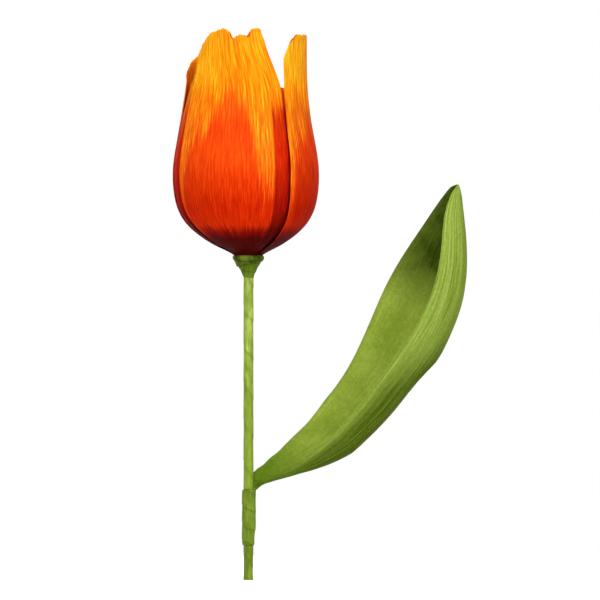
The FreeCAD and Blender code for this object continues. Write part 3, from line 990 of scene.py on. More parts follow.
@dataclass
class Wrap:
    """A closed sleeve of tape round the stick.

    Attributes:
        name: The piece's name.
        node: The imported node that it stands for.
        slot: The record's material slot.
        finish: Its look.
        turns: How its tape is wound: the inputs of TapeWinding.
        outline: Rows of height, outside radius and, where it isn't nought, its middle's X.
        bore: The radius of its bore.
        rings: Rings of its mesh.
        sides: Points in a ring.
        dent: How deep the leaf's root presses into its foot.
        dent_end: Where that ends, over the foot: a start and a run.
        waist: How much narrower it is just over its foot.
        waist_round: The share of that which goes all the way round.
        waist_start: Where the waist starts, as for the dent.
        waist_end: Where it ends.
        ease: How much its ends are rounded.
        ease_reach: How far from the ends.
        tilt: How far its lower edge falls at the left and rises at the right.
    """

    name: str
    node: str
    slot: str
    finish: Finish
    turns: dict[str, float]
    outline: Rows
    bore: float
    rings: int
    sides: int
    dent: float = 0.0
    dent_end: Span = (1.5, 1.0)
    waist: float = 0.0
    waist_round: float = 0.35
    waist_start: Span = (0.0, 2.2)
    waist_end: Span = (5.5, 4.5)
    ease: float = 0.0
    ease_reach: float = 0.6
    tilt: float = 0.0

    @staticmethod
    def hump(angle: Array, middle: float, spread: float) -> Array:
        """A soft hump of height one round the wrap, at an angle and as wide as its spread."""
        off = np.angle(np.exp(1j * (angle - middle)))
        return np.exp(-((off / spread) ** 2))

    def skin(self, rise: Array, angle: Array) -> Array:
        """The wrap's outside.

        Args:
            rise: The height of each ring.
            angle: The angle of each point of a ring.

        Returns:
            A ring of points for each height.
        """
        heights, *profile = np.array([(*row, 0.0)[:3] for row in self.outline]).T
        if len(heights) > 3:
            radius, push = spline(heights, np.stack(profile, axis=-1), rise).T
        else:
            radius, push = (np.interp(rise, heights, column) for column in profile)
        low = rise[:, None] - rise[0]
        dent = self.hump(angle, middle=0.0, spread=0.45) * (1 - smooth(low, *self.dent_end))
        uneven = self.hump(angle, middle=-0.5, spread=0.9)
        uneven = self.waist_round + (1 - self.waist_round) * uneven
        waist = uneven * smooth(low, *self.waist_start) * (1 - smooth(low, *self.waist_end))
        end = 1 - smooth(np.minimum(low, rise[-1] - rise[0] - low), 0.0, self.ease_reach)
        out = radius[:, None] - self.dent * dent - self.waist * waist - self.ease * end**2
        height = rise[:, None] + self.tilt * np.cos(angle + 0.7) * (1 - low / low[-1]) ** 2
        return np.stack([push[:, None] + out * np.cos(angle), out * np.sin(angle), height], axis=-1)

    def build(self) -> None:
        """Makes the sleeve, winds it with tape and fixes it to the stem."""
        first, last = self.outline[0][0], self.outline[-1][0]
        rise = np.linspace(first, last, self.rings)
        angle = np.linspace(0, 2 * np.pi, self.sides, endpoint=False)
        skin = self.skin(rise, angle)
        top = np.stack([self.bore * np.cos(angle), self.bore * np.sin(angle), angle * 0 + last], -1)
        foot = np.concatenate([top[:, :2], skin[0, :, 2:]], axis=-1)
        points = np.stack([foot, *skin, top])
        at = np.arange(len(points) * self.sides).reshape(len(points), self.sides)
        outside = np.zeros(at.shape)
        outside[1:-1] = 1.0
        marks = {
            "turn": np.tile(angle / (2 * np.pi), len(points)),
            "rise": np.repeat(np.concatenate([rise[:1], rise, rise[-1:]]) * METRE, self.sides),
            "skin": outside.ravel(),
        }
        faces = quads(np.pad(at, ((0, 1), (0, 1)), "wrap"))
        sleeve = add_object(self.name, points.reshape(-1, 3), faces, marks)
        WINDING.run(sleeve, self.finish, **self.turns)
        settle(sleeve, Body.STEM, self.slot, self.node)


@dataclass
class Stem:
    """The stick with its five wraps of tape, and what the wraps hold.

    Attributes:
        bore: The stem tapes' bore.
        tape_radius: The stem tape's outside.
        foot_top: Where the foot meets the wrap that ties on the leaf.
        joint_top: Where that wrap ends.
        tape_top: Where the stem's tape meets the neck's.
        tail_width: The width of the leaf's gathered tail.
        joint_turns: The leaf wrap's outline: shares of its height, and its middle's and its
            outside's way past the stick, in widths of the tail.
        neck: The outline of the light wrap under the cup.
        neck_bore: Its bore.
        calyx: The outline of the dark, lumpy wrap over it.
        calyx_bore: Its bore.
    """

    bore: float = 1.35
    tape_radius: float = 1.65
    foot_top: float = 11.0
    joint_top: float = 29.1
    tape_top: float = 97.3
    tail_width: float = 0.96
    joint_turns: Rows = (
        (0.0, -0.10, 0.74), (0.17, -0.06, 0.84), (0.30, 0.08, 0.98), (0.55, 0.13, 1.02),
        (0.80, 0.11, 0.99), (1.0, 0.14, 1.03),
    )
    neck: Rows = (
        (96.1, 1.68), (96.8, 1.75), (97.4, 1.95), (98.8, 2.6), (99.9, 3.15), (101.2, 3.8)
    )
    neck_bore: float = 1.45
    calyx: Rows = (
        (100.2, 3.5), (100.8, 3.95), (101.7, 4.5), (102.6, 5.12), (103.34, 5.2), (104.1, 5.1)
    )
    calyx_bore: float = 3.0

    def wraps(self) -> tuple[Wrap, ...]:
        """The five wraps: stem, foot, leaf, neck and calyx.

        Returns:
            The wraps in the order in which they are made.
        """
        wide, long = self.tail_width, self.joint_top - self.foot_top
        joint = tuple(
            (self.foot_top + share * long, self.bore + outside * wide, middle * wide)
            for share, middle, outside in self.joint_turns
        )
        wound, bore = ("pitch", "lap", "crinkle", "slack", "start", "seed"), self.bore
        stem, foot = (
            ((low, self.tape_radius), (high, self.tape_radius))
            for low, high in ((self.joint_top, self.tape_top), (0.0, self.foot_top))
        )
        return tuple(
            Wrap(f"{name}_wrap", node, slot, finish, dict(zip(wound, turns)), *sizes, **shape)
            for name, node, slot, finish, turns, sizes, shape in (
                ("stem", "stem_tape", "stem_tape", STEM_TAPE,
                 (0.0123, 0.00009, 0.00005, 0.3, 0.35, 2.0), (stem, bore, 420, 64), {"dent": 0.06}),
                ("foot", "foot_tape", "lower_tape", LOWER_TAPE,
                 (0.0098, 0.00007, 0.00006, 0.3, 0.62, 5.0), (foot, bore, 90, 64), {"waist": 0.17}),
                ("leaf", "joint_tape", "lower_tape", LOWER_TAPE,
                 (0.0056, 0.00012, 0.00012, 0.8, 0.2, 9.0), (joint, bore, 170, 72), {"ease": 0.28}),
                ("neck", "neck_tape", "stem_tape", NECK_TAPE,
                 (0.0021, 0.00012, 0.00016, 0.7, 0.1, 12.0),
                 (self.neck, self.neck_bore, 70, 90), {}),
                ("calyx", "calyx_tape", "lower_tape", CALYX_TAPE,
                 (0.0025, 0.0002, 0.00024, 0.9, 0.4, 15.0),
                 (self.calyx, self.calyx_bore, 90, 130), {"ease": 0.25, "tilt": 0.6}),
            )
        )

    def build(self) -> None:
        """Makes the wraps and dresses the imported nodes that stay."""
        for wrap in self.wraps():
            wrap.build()
        for node, finish in KEPT_NODES.items():
            dress(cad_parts[node], finish)
            LOG.info("%s: dressed in %s", node, finish.name)


@dataclass
class Petal:
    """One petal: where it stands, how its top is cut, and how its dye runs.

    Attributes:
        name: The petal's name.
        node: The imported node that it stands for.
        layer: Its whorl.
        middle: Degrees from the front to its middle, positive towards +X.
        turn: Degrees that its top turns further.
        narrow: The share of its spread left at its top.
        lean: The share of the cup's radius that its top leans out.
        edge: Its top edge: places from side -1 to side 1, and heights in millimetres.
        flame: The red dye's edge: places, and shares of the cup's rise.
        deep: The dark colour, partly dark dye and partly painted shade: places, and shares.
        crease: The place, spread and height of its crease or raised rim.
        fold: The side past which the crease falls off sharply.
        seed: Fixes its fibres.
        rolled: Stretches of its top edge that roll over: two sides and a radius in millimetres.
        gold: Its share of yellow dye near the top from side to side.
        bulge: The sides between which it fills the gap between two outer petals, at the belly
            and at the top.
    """

    name: str
    node: str
    layer: Layer
    middle: float
    turn: float
    narrow: float
    lean: float
    edge: Rows
    flame: Rows
    deep: Rows
    crease: Place = (0.0, 1.0, 0.0)
    fold: float = 9.0
    seed: int = 1
    rolled: Rows = ()
    gold: Rows = ((-1, 0.1), (1, 0.1))
    bulge: tuple[float, float, float, float] | None = None


def even(values: tuple[float, ...], tip: float = 176.9, rise: float = 72.1) -> Rows:
    """Turns shares of the cup's rise below its tip into places and heights from side to side."""
    places = np.linspace(-1, 1, len(values))
    return tuple((float(place), tip - share * rise) for place, share in zip(places, values))


# Each deep table is partly dark dye and partly painted shade: on the front petal's flank, which
# turns from the light, beside the front petal's edges and over the right petal's right side.
PETALS: tuple[Petal, ...] = (
    Petal(
        "front_petal", "petal_front", Layer.OUTER, -13.5, -10.5, 0.87, -0.150,
        (
            (-1, 167.6), (-0.83, 171.0), (-0.65, 173.4), (-0.49, 174.8), (-0.26, 175.7),
            (-0.06, 176.25), (0.05, 176.0), (0.12, 175.2), (0.164, 173.6), (0.2, 173.3),
            (0.274, 173.7), (0.402, 174.5), (0.55, 173.9), (0.614, 174.2), (0.678, 175.9),
            (0.733, 176.2), (0.871, 176.3), (0.945, 175.8), (1, 172.5),
        ),
        # The flame's low start at the left edge draws an orange line down it, partly dye and partly
        # a painted highlight where the edge faces the light.
        (
            (-1, 0.10), (-0.94, 0.14), (-0.9, 0.26), (-0.825, 0.44), (-0.72, 0.52), (-0.626, 0.55),
            (-0.458, 0.575), (-0.307, 0.62), (-0.167, 0.70), (0.02, 0.735), (0.171, 0.72),
            (0.273, 0.66), (0.374, 0.56), (0.43, 0.42), (0.476, 0.31), (0.6, 0.27), (0.71, 0.26),
            (0.75, 0.6), (1, 0.64),
        ),
        # Painted shade on the flank past the crease, partly dark dye.
        ((-1, 0.3), (-0.97, 0.0), (0.72, 0.0), (0.76, 0.8), (0.9, 0.85), (1, 1.0)),
        (0.60, 0.42, 1.0), 0.78, 3, ((0.54, 0.67, 0.34), (0.11, 0.2, 0.22)),
        ((-1, 0.36), (-0.5, 0.36), (-0.15, 0.1), (0.25, 0.0), (0.5, 0.1), (1, 0.1)),
    ),
    Petal(
        "right_petal", "petal_right", Layer.OUTER, 87.5, 0.0, 0.96, 0.015,
        even((
            0.14, 0.066, 0.036, 0.034, 0.034, 0.033, 0.035,
            0.04, 0.05, 0.064, 0.084, 0.112, 0.15,
        )),
        # The flame's low start at the left edge draws an orange line down it, partly dye and partly
        # a painted highlight where the edge faces the light.
        (
            (-1, 0.08), (-0.96, 0.12), (-0.92, 0.3), (-0.88, 0.46), (-0.75, 0.51), (-0.55, 0.54),
            (-0.3, 0.57), (0, 0.6), (1, 0.62),
        ),
        ((-1, 0.0), (-0.9, 0.0), (-0.82, 0.32), (-0.3, 0.5), (0.2, 0.55), (1, 0.6)),
        (-1.0, 0.40, 1.3), seed=7, rolled=((-0.86, -0.6, 0.24),),
        gold=((-1, 0.5), (-0.6, 0.42), (-0.2, 0.15), (1, 0.15)),
    ),
    Petal(
        "left_petal", "petal_left", Layer.OUTER, -131.5, 0.0, 0.86, -0.060,
        even((
            0.25, 0.2, 0.168, 0.142, 0.126, 0.114, 0.11,
            0.12, 0.136, 0.152, 0.17, 0.19, 0.24,
        )),
        ((-1, 0.55), (-0.6, 0.62), (0, 0.68), (0.5, 0.6), (1, 0.6)),
        ((-1, 0.3), (0, 0.15), (0.5, 0.25), (1, 0.5)),
        seed=11, rolled=((-0.2, 0.2, 0.25), (0.8, 0.96, 0.3)),
    ),
    Petal(
        "inner_petal_left", "petal_inner_left", Layer.INNER, -75.0, 0.0, 0.72, -0.190,
        even((
            0.34, 0.29, 0.255, 0.23, 0.214, 0.204, 0.2,
            0.204, 0.214, 0.23, 0.255, 0.29, 0.34,
        )),
        ((-1, 0.58), (0, 0.56), (1, 0.58)),
        # Painted shadow of the front petal's edge on the strip that fills the gap.
        ((-1, 0.5), (-0.12, 0.75), (0.04, 0.85), (0.12, 0.95), (0.24, 1.0), (0.32, 0.6), (1, 0.4)),
        seed=19, bulge=(-0.1, 0.2, -0.3, 0.17),
    ),
    Petal(
        "inner_petal_right", "petal_inner_right", Layer.INNER, 38.5, 0.0, 0.72, -0.190,
        even((
            0.39, 0.345, 0.312, 0.29, 0.276, 0.268, 0.265,
            0.268, 0.276, 0.29, 0.312, 0.345, 0.39,
        )),
        ((-1, 0.62), (0, 0.7), (1, 0.62)), ((-1, 0.5), (0, 0.6), (1, 0.5)), seed=23,
    ),
    Petal(
        "inner_petal_back", "petal_inner_back", Layer.INNER, 159.0, 0.0, 0.72, -0.190,
        even((
            0.38, 0.335, 0.303, 0.281, 0.266, 0.258, 0.255,
            0.26, 0.27, 0.284, 0.306, 0.338, 0.385,
        )),
        ((-1, 0.6), (0, 0.68), (1, 0.6)), ((-1, 0.4), (0, 0.4), (1, 0.4)), seed=29,
    ),
)


@dataclass
class Cup:
    """The cup of six petals on one meridian.

    Places up a petal are shares of the cup's rise, and two numbers that bound a change are where
    it starts and how long it runs.

    Attributes:
        tail_ring: The petals' outer radius where they are tied.
        calyx_radius: The tape's widest radius, which the tails' flare follows.
        base: The height of the cup's underside.
        tail_length: How far the tails run down under the tape.
        radius: The cup's widest radius.
        rise: The cup's underside to its highest tip.
        offset: How far the cup leans towards -X.
        tail_rows: The tails' outline: shares of the flare, and of the tails' length.
        cup_rows: The cup's outline: shares of the way from the tie out, and of the rise.
        belly_row: The row of the outline that is the belly.
        half_angles: Half the spread of a petal of each layer, in degrees.
        closing: Where a petal's top turns and narrows.
        leaning: Where it leans out.
        crease_rise: How far a crease stands out.
        crease_end: Where a crease dies away.
        tears: The torn edge: a seed, cells across, a depth and how sharp its teeth are.
        furrows: Cells across, cells along and depth of the pleats, ribs and fibres.
        sheet: The husk's thickness.
        thin: Its thickness at the edges.
        room: How far an inner petal's face lies behind the outer ones.
        tail_room: The same at the tails.
        swell: How far a bulge fills the gap between two petals.
        fray: How far a torn edge's fibres are rooted in it.
        roll_dye_and_shade: The colour of the rolled edges: their dye, and a share of painted shade
            on their curled-under side.
    """

    tail_ring: float = 2.4
    calyx_radius: float = 5.2
    base: float = 104.8
    tail_length: float = 5.6
    radius: float = 23.6
    rise: float = 72.1
    offset: float = 0.9
    tail_rows: Rows = (
        (0.0, 1.0), (0.0, 0.82), (0.015, 0.66), (0.076, 0.52), (0.326, 0.33), (0.825, 0.14)
    )
    cup_rows: Rows = (
        (0.218, 0.007), (0.376, 0.029), (0.552, 0.060), (0.728, 0.101), (0.857, 0.147),
        (0.943, 0.204), (0.986, 0.269), (1.000, 0.340), (0.981, 0.419), (0.933, 0.506),
        (0.881, 0.596), (0.843, 0.689), (0.819, 0.786), (0.809, 0.890), (0.805, 1.000),
    )
    belly_row: int = 13
    half_angles: dict[Layer, float] = field(
        default_factory=lambda: {Layer.OUTER: 51.0, Layer.INNER: 48.0}
    )
    closing: Span = (0.70, 0.30)
    leaning: Span = (0.55, 0.45)
    crease_rise: float = 0.8
    crease_end: Span = (0.62, 0.33)
    tears: Rows = ((50, 46, 0.3, 2), (51, 120, 0.35, 3))
    furrows: Rows = ((11, 4, 0.20), (32, 7, 0.11), (84, 14, 0.08))
    sheet: float = 0.36
    thin: float = 0.12
    room: float = 0.8
    tail_room: float = 0.55
    swell: float = 0.66
    fray: float = 0.25
    # The rolls' deep share is painted shade on their curled-under side.
    roll_dye_and_shade: dict[str, float] = field(
        default_factory=lambda: {"height": 0.68, "blaze": -0.04, "deep": 0.8}
    )

    def meridian(self) -> tuple[Array, Array]:
        """The cup's outer line, from the tails up.

        Returns:
            The way along it to each of its points, and their radii and heights.
        """
        flare, wide = self.calyx_radius - self.tail_ring, self.radius - self.tail_ring
        line = np.concatenate([
            np.array(self.tail_rows) * (flare, -self.tail_length),
            np.array(self.cup_rows) * (wide, self.rise),
        ]) + (self.tail_ring, self.base)
        return np.append(0, np.cumsum(np.linalg.norm(np.diff(line, axis=0), axis=1))), line

    def face(self, petal: Petal) -> tuple[Array, dict[str, Array]]:
        """Works out a petal's outer face.

        Args:
            petal: The petal.

        Returns:
            Its points in rows from its tail to its top, and by name what holds for each point:
            its side, its share of the cup's rise, its share of the way up and how far it has
            opened between the tie and the belly.
        """
        rows, columns = petal.layer.value
        knots, line = self.meridian()
        belly = knots[self.belly_row]
        fine = np.linspace(belly, knots[-1], 1500)
        side = np.linspace(-1, 1, columns)
        cut = along_pairs(petal.edge, side)
        for seed, cells, depth, power in self.tears:
            torn = streaks(petal.seed + seed, (side + 1) / 2, side * 0, cells, 1)
            cut = cut - depth * torn**power
        top = np.interp(cut, spline(knots, line, fine)[:, 1], fine)
        lower = np.linspace(0, 1, rows * 2 // 5, endpoint=False) ** 1.25
        upper = np.linspace(0, 1, rows - len(lower))[:, None]
        below = np.repeat((lower * belly)[:, None], columns, axis=1)
        place = np.concatenate([below, belly + upper * (top - belly)])
        opened = np.append(lower, np.ones(len(upper)))[:, None]
        radius, z = spline(knots, line, place.ravel()).T.reshape(2, *place.shape)
        height = (z - self.base) / self.rise
        end = smooth(height, *self.closing)
        spread = self.half_angles[petal.layer] * (1 - 0.1 * (1 - smooth(opened)))
        spread = spread * (1 - (1 - petal.narrow) * end)
        angle = np.radians(petal.middle + petal.turn * end + side * spread)
        centre, reach, full = petal.crease
        ridge = np.minimum(
            smooth(1 - np.abs(side - centre) / reach), smooth(petal.fold - side, 0.0, 0.08)
        )
        stand = self.crease_rise * full * ridge * smooth(opened)
        out = radius + stand * (1 - smooth(height, *self.crease_end))
        out = out + petal.lean * self.radius * smooth(height, *self.leaning)
        x = out * np.sin(angle) - self.offset * smooth(opened)
        side, opened = np.broadcast_to(side, z.shape), np.broadcast_to(opened, z.shape)
        return np.stack([x, -out * np.cos(angle), z], axis=-1), {
            "side": side, "height": height, "way": place / place[-1:], "opened": opened
        }

    def depth(self, petal: Petal, face: dict[str, Array]) -> Array:
        """How far a petal's outside lies behind the face that it is made on.

        Args:
            petal: The petal.
            face: What holds for each of its points.

        Returns:
            The depth at each point.
        """
        side, way, opened = face["side"], face["way"], face["opened"]
        grooves = ridges(petal.seed, (side + 1) / 2, way, self.furrows)
        depth = 0.02 + grooves * smooth(opened, 0.12, 0.4)
        if petal.layer is Layer.INNER:
            behind = smooth(opened, 0.0, 0.25)
            depth = depth * 0.5 + self.tail_room + (self.room - self.tail_room) * behind
        if petal.bulge is not None:
            first, last, first_top, last_top = petal.bulge
            end = smooth(face["height"], *self.closing)
            low, high = first + (first_top - first) * end, last + (last_top - last) * end
            flank = np.minimum(smooth(side, low, 0.04), smooth(high - side, 0.0, 0.1))
            shown = smooth(opened, 0.1, 0.3) * (1 - smooth(way, 0.93, 0.06))
            depth = depth - self.swell * flank * shown
        return depth

    def marks(self, petal: Petal, face: dict[str, Array]) -> dict[str, Array]:
        """What the dyed husk reads on a petal.

        Args:
            petal: The petal.
            face: What holds for each of its points.

        Returns:
            The values by name.
        """
        side, height = face["side"], face["height"]
        # The deep mark is partly dark dye and partly painted shade; it fades at the tie and near
        # the top.
        paler = 0.85 if petal.layer is Layer.OUTER else 0.2
        darkest = smooth(height, 0.0, 0.1) * (1 - smooth(height, 0.60, 0.10) * paler)
        return {
            "height": np.clip(height, 0, 1),
            "blaze": height - along_pairs(petal.flame, side),
            "deep": along_pairs(petal.deep, side) * darkest,
            "gold": along_pairs(petal.gold, side) * smooth(height, 0.66, 0.14),
        }

    def build_petal(self, petal: Petal) -> None:
        """Makes a petal, and the fibres and rolls of an outer one's torn top edge.

        Args:
            petal: The petal.
        """
        points, face = self.face(petal)
        side, way, marks = face["side"], face["way"], self.marks(petal, face)
        normal = facing(points)
        edge = np.minimum(1 - np.abs(side), 2.5 * (1 - way))
        wall = self.thin + (self.sheet - self.thin) * smooth(edge, 0.0, 0.05)
        outside = points - normal * self.depth(petal, face)[..., None]
        inside = outside - normal * wall[..., None]
        chart = (side + 1) / 2 + petal.seed
        piece = closed_sheet(petal.name, outside, inside, marks, chart, way)
        settle(piece, Body.STEM, "petal_husk", petal.node, PETAL_HUSK)
        if petal.layer is Layer.OUTER:
            tip = (outside[-1] + inside[-1]) / 2
            grow = units(tip - outside[-4])
            self.build_fray(petal, tip, grow, {name: of[-1] for name, of in marks.items()})
            self.build_rolls(petal, side[-1], tip - grow * 0.12)

    def build_fray(self, petal: Petal, tip: Array, grow: Array, marks: dict[str, Array]) -> None:
        """Stands fibres on a petal's torn top edge.

        Args:
            petal: The petal.
            tip: The edge's points.
            grow: The way that the husk's fibres run at each.
            marks: The dye at each.
        """
        kept = slice(3, -3)
        marks = {name: values[kept] for name, values in {**marks, "grow": grow}.items()}
        fray = add_object(f"{petal.name}_fray", (tip - grow * self.fray)[kept], marks=marks)
        FRAYING.run(
            fray, PETAL_HUSK, thickness=0.00005, shortest=0.00015, longest=0.0006, spread=0.16,
            seed=petal.seed,
        )
        settle(fray, Body.STEM, "petal_husk")

    def build_rolls(self, petal: Petal, side: Array, edge: Array) -> None:
        """Makes the thin rolls where a petal's top edge has dried and curled over.

        Args:
            petal: The petal.
            side: The side of each point of the edge.
            edge: The points of the edge.
        """
        for number, (first, last, radius) in enumerate(petal.rolled, 1):
            line = edge[(side >= first) & (side <= last)]
            run = np.linspace(0, 1, len(line))
            # The rolls take their dye and their painted shade from one table.
            marks = {name: np.full(len(line), value) for name, value in self.roll_dye_and_shade.items()}
            marks["girth"] = radius * (0.3 + 0.7 * inward(run, 0.3))
            roll = add_object(
                f"{petal.name}_roll_{number}", line - (0, 0, 0.1), marks=marks,
                edges=[(i, i + 1) for i in range(len(line) - 1)],
            )
            VEINING.run(roll, PETAL_HUSK, sides=10)
            settle(roll, Body.STEM, "petal_husk")

    def build(self) -> None:
        """Makes all six petals."""
        for petal in PETALS:
            self.build_petal(petal)


@dataclass
class Leaf:
    """The folded leaf on its bent root.

    Places on the leaf are shares of the way to its tip, and from -1 at its near rim through its
    keel to 1 at its far rim. Two numbers that bound a change are its start and its run.

    Attributes:
        root: Where its keel starts.
        reach: Its root to its furthest point, along X.
        rise: Its root to its tip, along Z.
        depths: The depth of each wall of the fold.
        root_depth: Either wall's depth at the root.
        tip_depth: Either wall's depth at the tip.
        stations: Keel, far rim and near rim, each X and Z, and the fold's fullness.
        kinks: The fold's edge past its even line: shares of the way up, and millimetres.
        sink: How far the far rim sinks above the root.
        rows: Rows of points from its root to its tip.
        columns: Points from rim to rim.
        sheet: The husk's thickness.
        thin: Its thickness at the rims.
        rim: How wide the thin rims are.
        ends: How far from its ends its relief fades.
        inset: How far its outside lies behind the face that it is made on.
        furrows: Cells across, cells along and depth of its folds, ribs and fibres.
        seed: Fixes them.
        vein_seed: Fixes where the veins lie.
        veins: How many veins stand out.
        vein: The radius of the thickest.
        root_rows: Rows of points in the root.
        root_low: The root's lower end under the wrap: its rims' X and its keel's Z.
        root_width: How far its keel lies past its rims there, and half its breadth.
        root_rims: How far each wall's rim lies over the keel there.
    """

    root: Place = (3.13, 0.0, 30.1)
    reach: float = 67.1
    rise: float = 97.1
    depths: dict[Wall, float] = field(default_factory=lambda: {Wall.NEAR: 9.5, Wall.FAR: 8.0})
    root_depth: float = 2.0
    tip_depth: float = 1.3
    stations: Rows = (
        (0.000, 0.000, 0.003, 0.046, 0.003, 0.015, 0.00),
        (0.157, 0.028, 0.136, 0.159, 0.153, 0.061, 0.34),
        (0.310, 0.065, 0.259, 0.241, 0.283, 0.124, 0.59),
        (0.447, 0.120, 0.361, 0.320, 0.396, 0.200, 0.79),
        (0.568, 0.191, 0.440, 0.404, 0.496, 0.283, 0.92),
        (0.678, 0.273, 0.501, 0.490, 0.589, 0.369, 0.98),
        (0.780, 0.362, 0.552, 0.572, 0.676, 0.452, 1.00),
        (0.871, 0.454, 0.601, 0.648, 0.752, 0.534, 0.99),
        (0.944, 0.551, 0.656, 0.720, 0.813, 0.617, 0.94),
        (0.990, 0.655, 0.721, 0.792, 0.853, 0.705, 0.85),
        (1.000, 0.766, 0.796, 0.869, 0.873, 0.800, 0.68),
        (0.989, 0.883, 0.873, 0.947, 0.890, 0.901, 0.41),
        (0.966, 0.990, 0.937, 1.000, 0.945, 0.996, 0.00),
    )
    kinks: Rows = (
        (0.12, 0.0), (0.17, 0.45), (0.262, 1.45), (0.31, 0.95), (0.41, 0.55), (0.46, 0.25),
        (0.5, 0.35), (0.535, 0.9), (0.565, 1.5), (0.59, 1.45), (0.645, 0.8), (0.76, 0.0),
    )
    sink: float = 1.5
    rows: int = 180
    columns: int = 190
    sheet: float = 0.4
    thin: float = 0.14
    rim: float = 0.035
    ends: float = 0.06
    inset: float = 0.08
    furrows: Rows = ((13, 3, 0.30), (34, 4, 0.20), (80, 8, 0.10))
    seed: int = 41
    vein_seed: int = 77
    veins: int = 30
    vein: float = 0.12
    root_rows: int = 40
    root_low: Span = (1.36, 28.7)
    root_rims: dict[Wall, float] = field(default_factory=lambda: {Wall.NEAR: 2.7, Wall.FAR: 5.4})
    root_width: Span = (1.02, 0.78)

    def sections(self, share: Array) -> Array:
        """The leaf's outline across its fold at each station.

        Args:
            share: Places from rim to rim.

        Returns:
            A row of points for each station.
        """
        turn = share * np.pi / 2
        full = np.where(share > 0, self.depths[Wall.FAR], self.depths[Wall.NEAR])
        rows = []
        for part, (*corners, fullness) in zip(np.linspace(0, 1, len(self.stations)), self.stations):
            keel, far, near = (
                np.array(self.root) + (x * self.reach, 0, z * self.rise)
                for x, z in zip(corners[::2], corners[1::2])
            )
            end = self.root_depth * (1 - part) + self.tip_depth * part
            depth = (end + (full - end) * fullness) * np.sin(turn)
            rim = np.where(share[:, None] > 0, far, near)
            line = keel + (rim - keel) * (1 - np.cos(turn))[:, None]
            rows.append(line + depth[:, None] * (0, 1, 0))
        return np.stack(rows)

    def face(self) -> tuple[Array, Array, Array]:
        """The leaf's outer face, with its kinks and its sunk rim.

        Returns:
            Its points, and for each its place from rim to rim and its share of the way up.
        """
        share, at = np.linspace(-1, 1, self.columns), np.linspace(0, 1, self.rows)
        sections = self.sections(share)
        steps = np.linalg.norm(np.diff(sections, axis=0), axis=2).mean(axis=1)
        knots = np.append(0, np.cumsum(steps)) / steps.sum()
        points = spline(knots, sections.reshape(len(knots), -1), at)
        points = points.reshape(self.rows, self.columns, 3)
        keel = points[:, self.columns // 2]
        kink = np.outer(along_pairs(self.kinks, at), 1 - smooth(np.abs(share), 0.0, 0.6))
        sunk = self.sink * smooth(at, 0.02, 0.05) * (1 - smooth(at, 0.14, 0.1))
        sink = np.outer(sunk, smooth(share, 0.2, 0.6))
        for amount, other in ((kink, points.mean(axis=1)), (sink, points[:, -1])):
            points = points + units((keel - other) * (1, 0, 1))[:, None] * amount[..., None]
        return points, *np.broadcast_arrays(share, at[:, None])

    def shades(self, share: Array, way: Array) -> dict[str, Array]:
        """Where the leaf is painted with shade: broadly at its foot, along its keel and inside its
        top.

        Args:
            share: The place of each point from rim to rim.
            way: Its share of the way up.

        Returns:
            The share of painted shade at each point outside and inside, by name.
        """
        off, shown = np.abs(share), smooth(way, 0.04, 0.12) * (1 - 0.75 * smooth(way, 0.48, 0.25))
        foot = 0.78 * smooth(1 - off, 0.0, 0.3) * (1 - smooth(way, 0.36, 0.26))
        keel = foot + (0.95 - foot) * (1 - smooth(off, 0.16, 0.5))
        top = smooth(way + 0.1 * np.clip(share, 0, 1), 0.645, 0.23)
        far = 0.96 - 0.15 * smooth(share, 0.5, 0.5)
        return {"shade": keel * shown, "shade_inside": top * far}

    def build(self) -> None:
        """Makes the blade, its veins and the root that enters the wrap."""
        points, share, way = self.face()
        across, normal = (share + 1) / 2, facing(points)
        rim = 1 - inward(across, self.rim)
        rough = ridges(self.seed, across, way, self.furrows) * inward(way, self.ends)
        depth = self.inset + rough * (1 - 0.7 * rim)
        wall = self.thin + (self.sheet - self.thin) * (1 - rim)
        outside = points - normal * depth[..., None]
        inside = points - normal * (0.55 * depth + 0.05 + wall)[..., None]
        tip = np.sqrt(1 - 0.93 * np.clip((way - 0.97) / 0.03, 0, 1) ** 2)[..., None]
        middle = (outside + inside).mean(axis=1, keepdims=True) / 2
        outside, inside = (middle + (grid - middle) * tip for grid in (outside, inside))
        marks = {"rise": way, "rim": rim, **self.shades(share, way)}
        blade = closed_sheet("folded_leaf", outside, inside, marks, across, way)
        settle(blade, Body.LEAF, "leaf_husk", "leaf_blade", LEAF_HUSK)
        self.build_veins(outside, normal, way, marks["shade"])
        self.build_root(outside, inside)

    def build_veins(self, outside: Array, normal: Array, way: Array, keel: Array) -> None:
        """Lays the veins that stand out of the leaf's outside.

        Args:
            outside: The leaf's outside.
            normal: The way out at each of its points.
            way: The share of the way to the tip at each.
            keel: The share of painted shade at each.
        """
        chance = np.random.default_rng(self.vein_seed)
        columns = np.arange(8, self.columns - 8)
        points, edges = [], []
        marks = {"girth": [], "rise": [], "shade": []}
        for column in sorted(chance.choice(columns, self.veins, replace=False)):
            first, last = int(chance.integers(2, 60)), self.rows - int(chance.integers(3, 70))
            rows = np.arange(first, last, 2)
            run = np.linspace(0, 1, len(rows))
            thick = self.vein * inward(run, 0.2) * chance.uniform(0.6, 1.0) + 0.01
            edges.extend((i, i + 1) for i in range(len(points), len(points) + len(rows) - 1))
            points.extend(outside[rows, column] - normal[rows, column] * (thick - 0.05)[:, None])
            for mark, values in zip(marks, (thick, way[rows, column], keel[rows, column])):
                marks[mark].extend(values)
        kept = {mark: np.array(values) for mark, values in marks.items()}
        veins = add_object("leaf_veins", np.array(points), marks=kept, edges=edges)
        VEINING.run(veins, LEAF_HUSK)
        settle(veins, Body.LEAF, "leaf_husk")

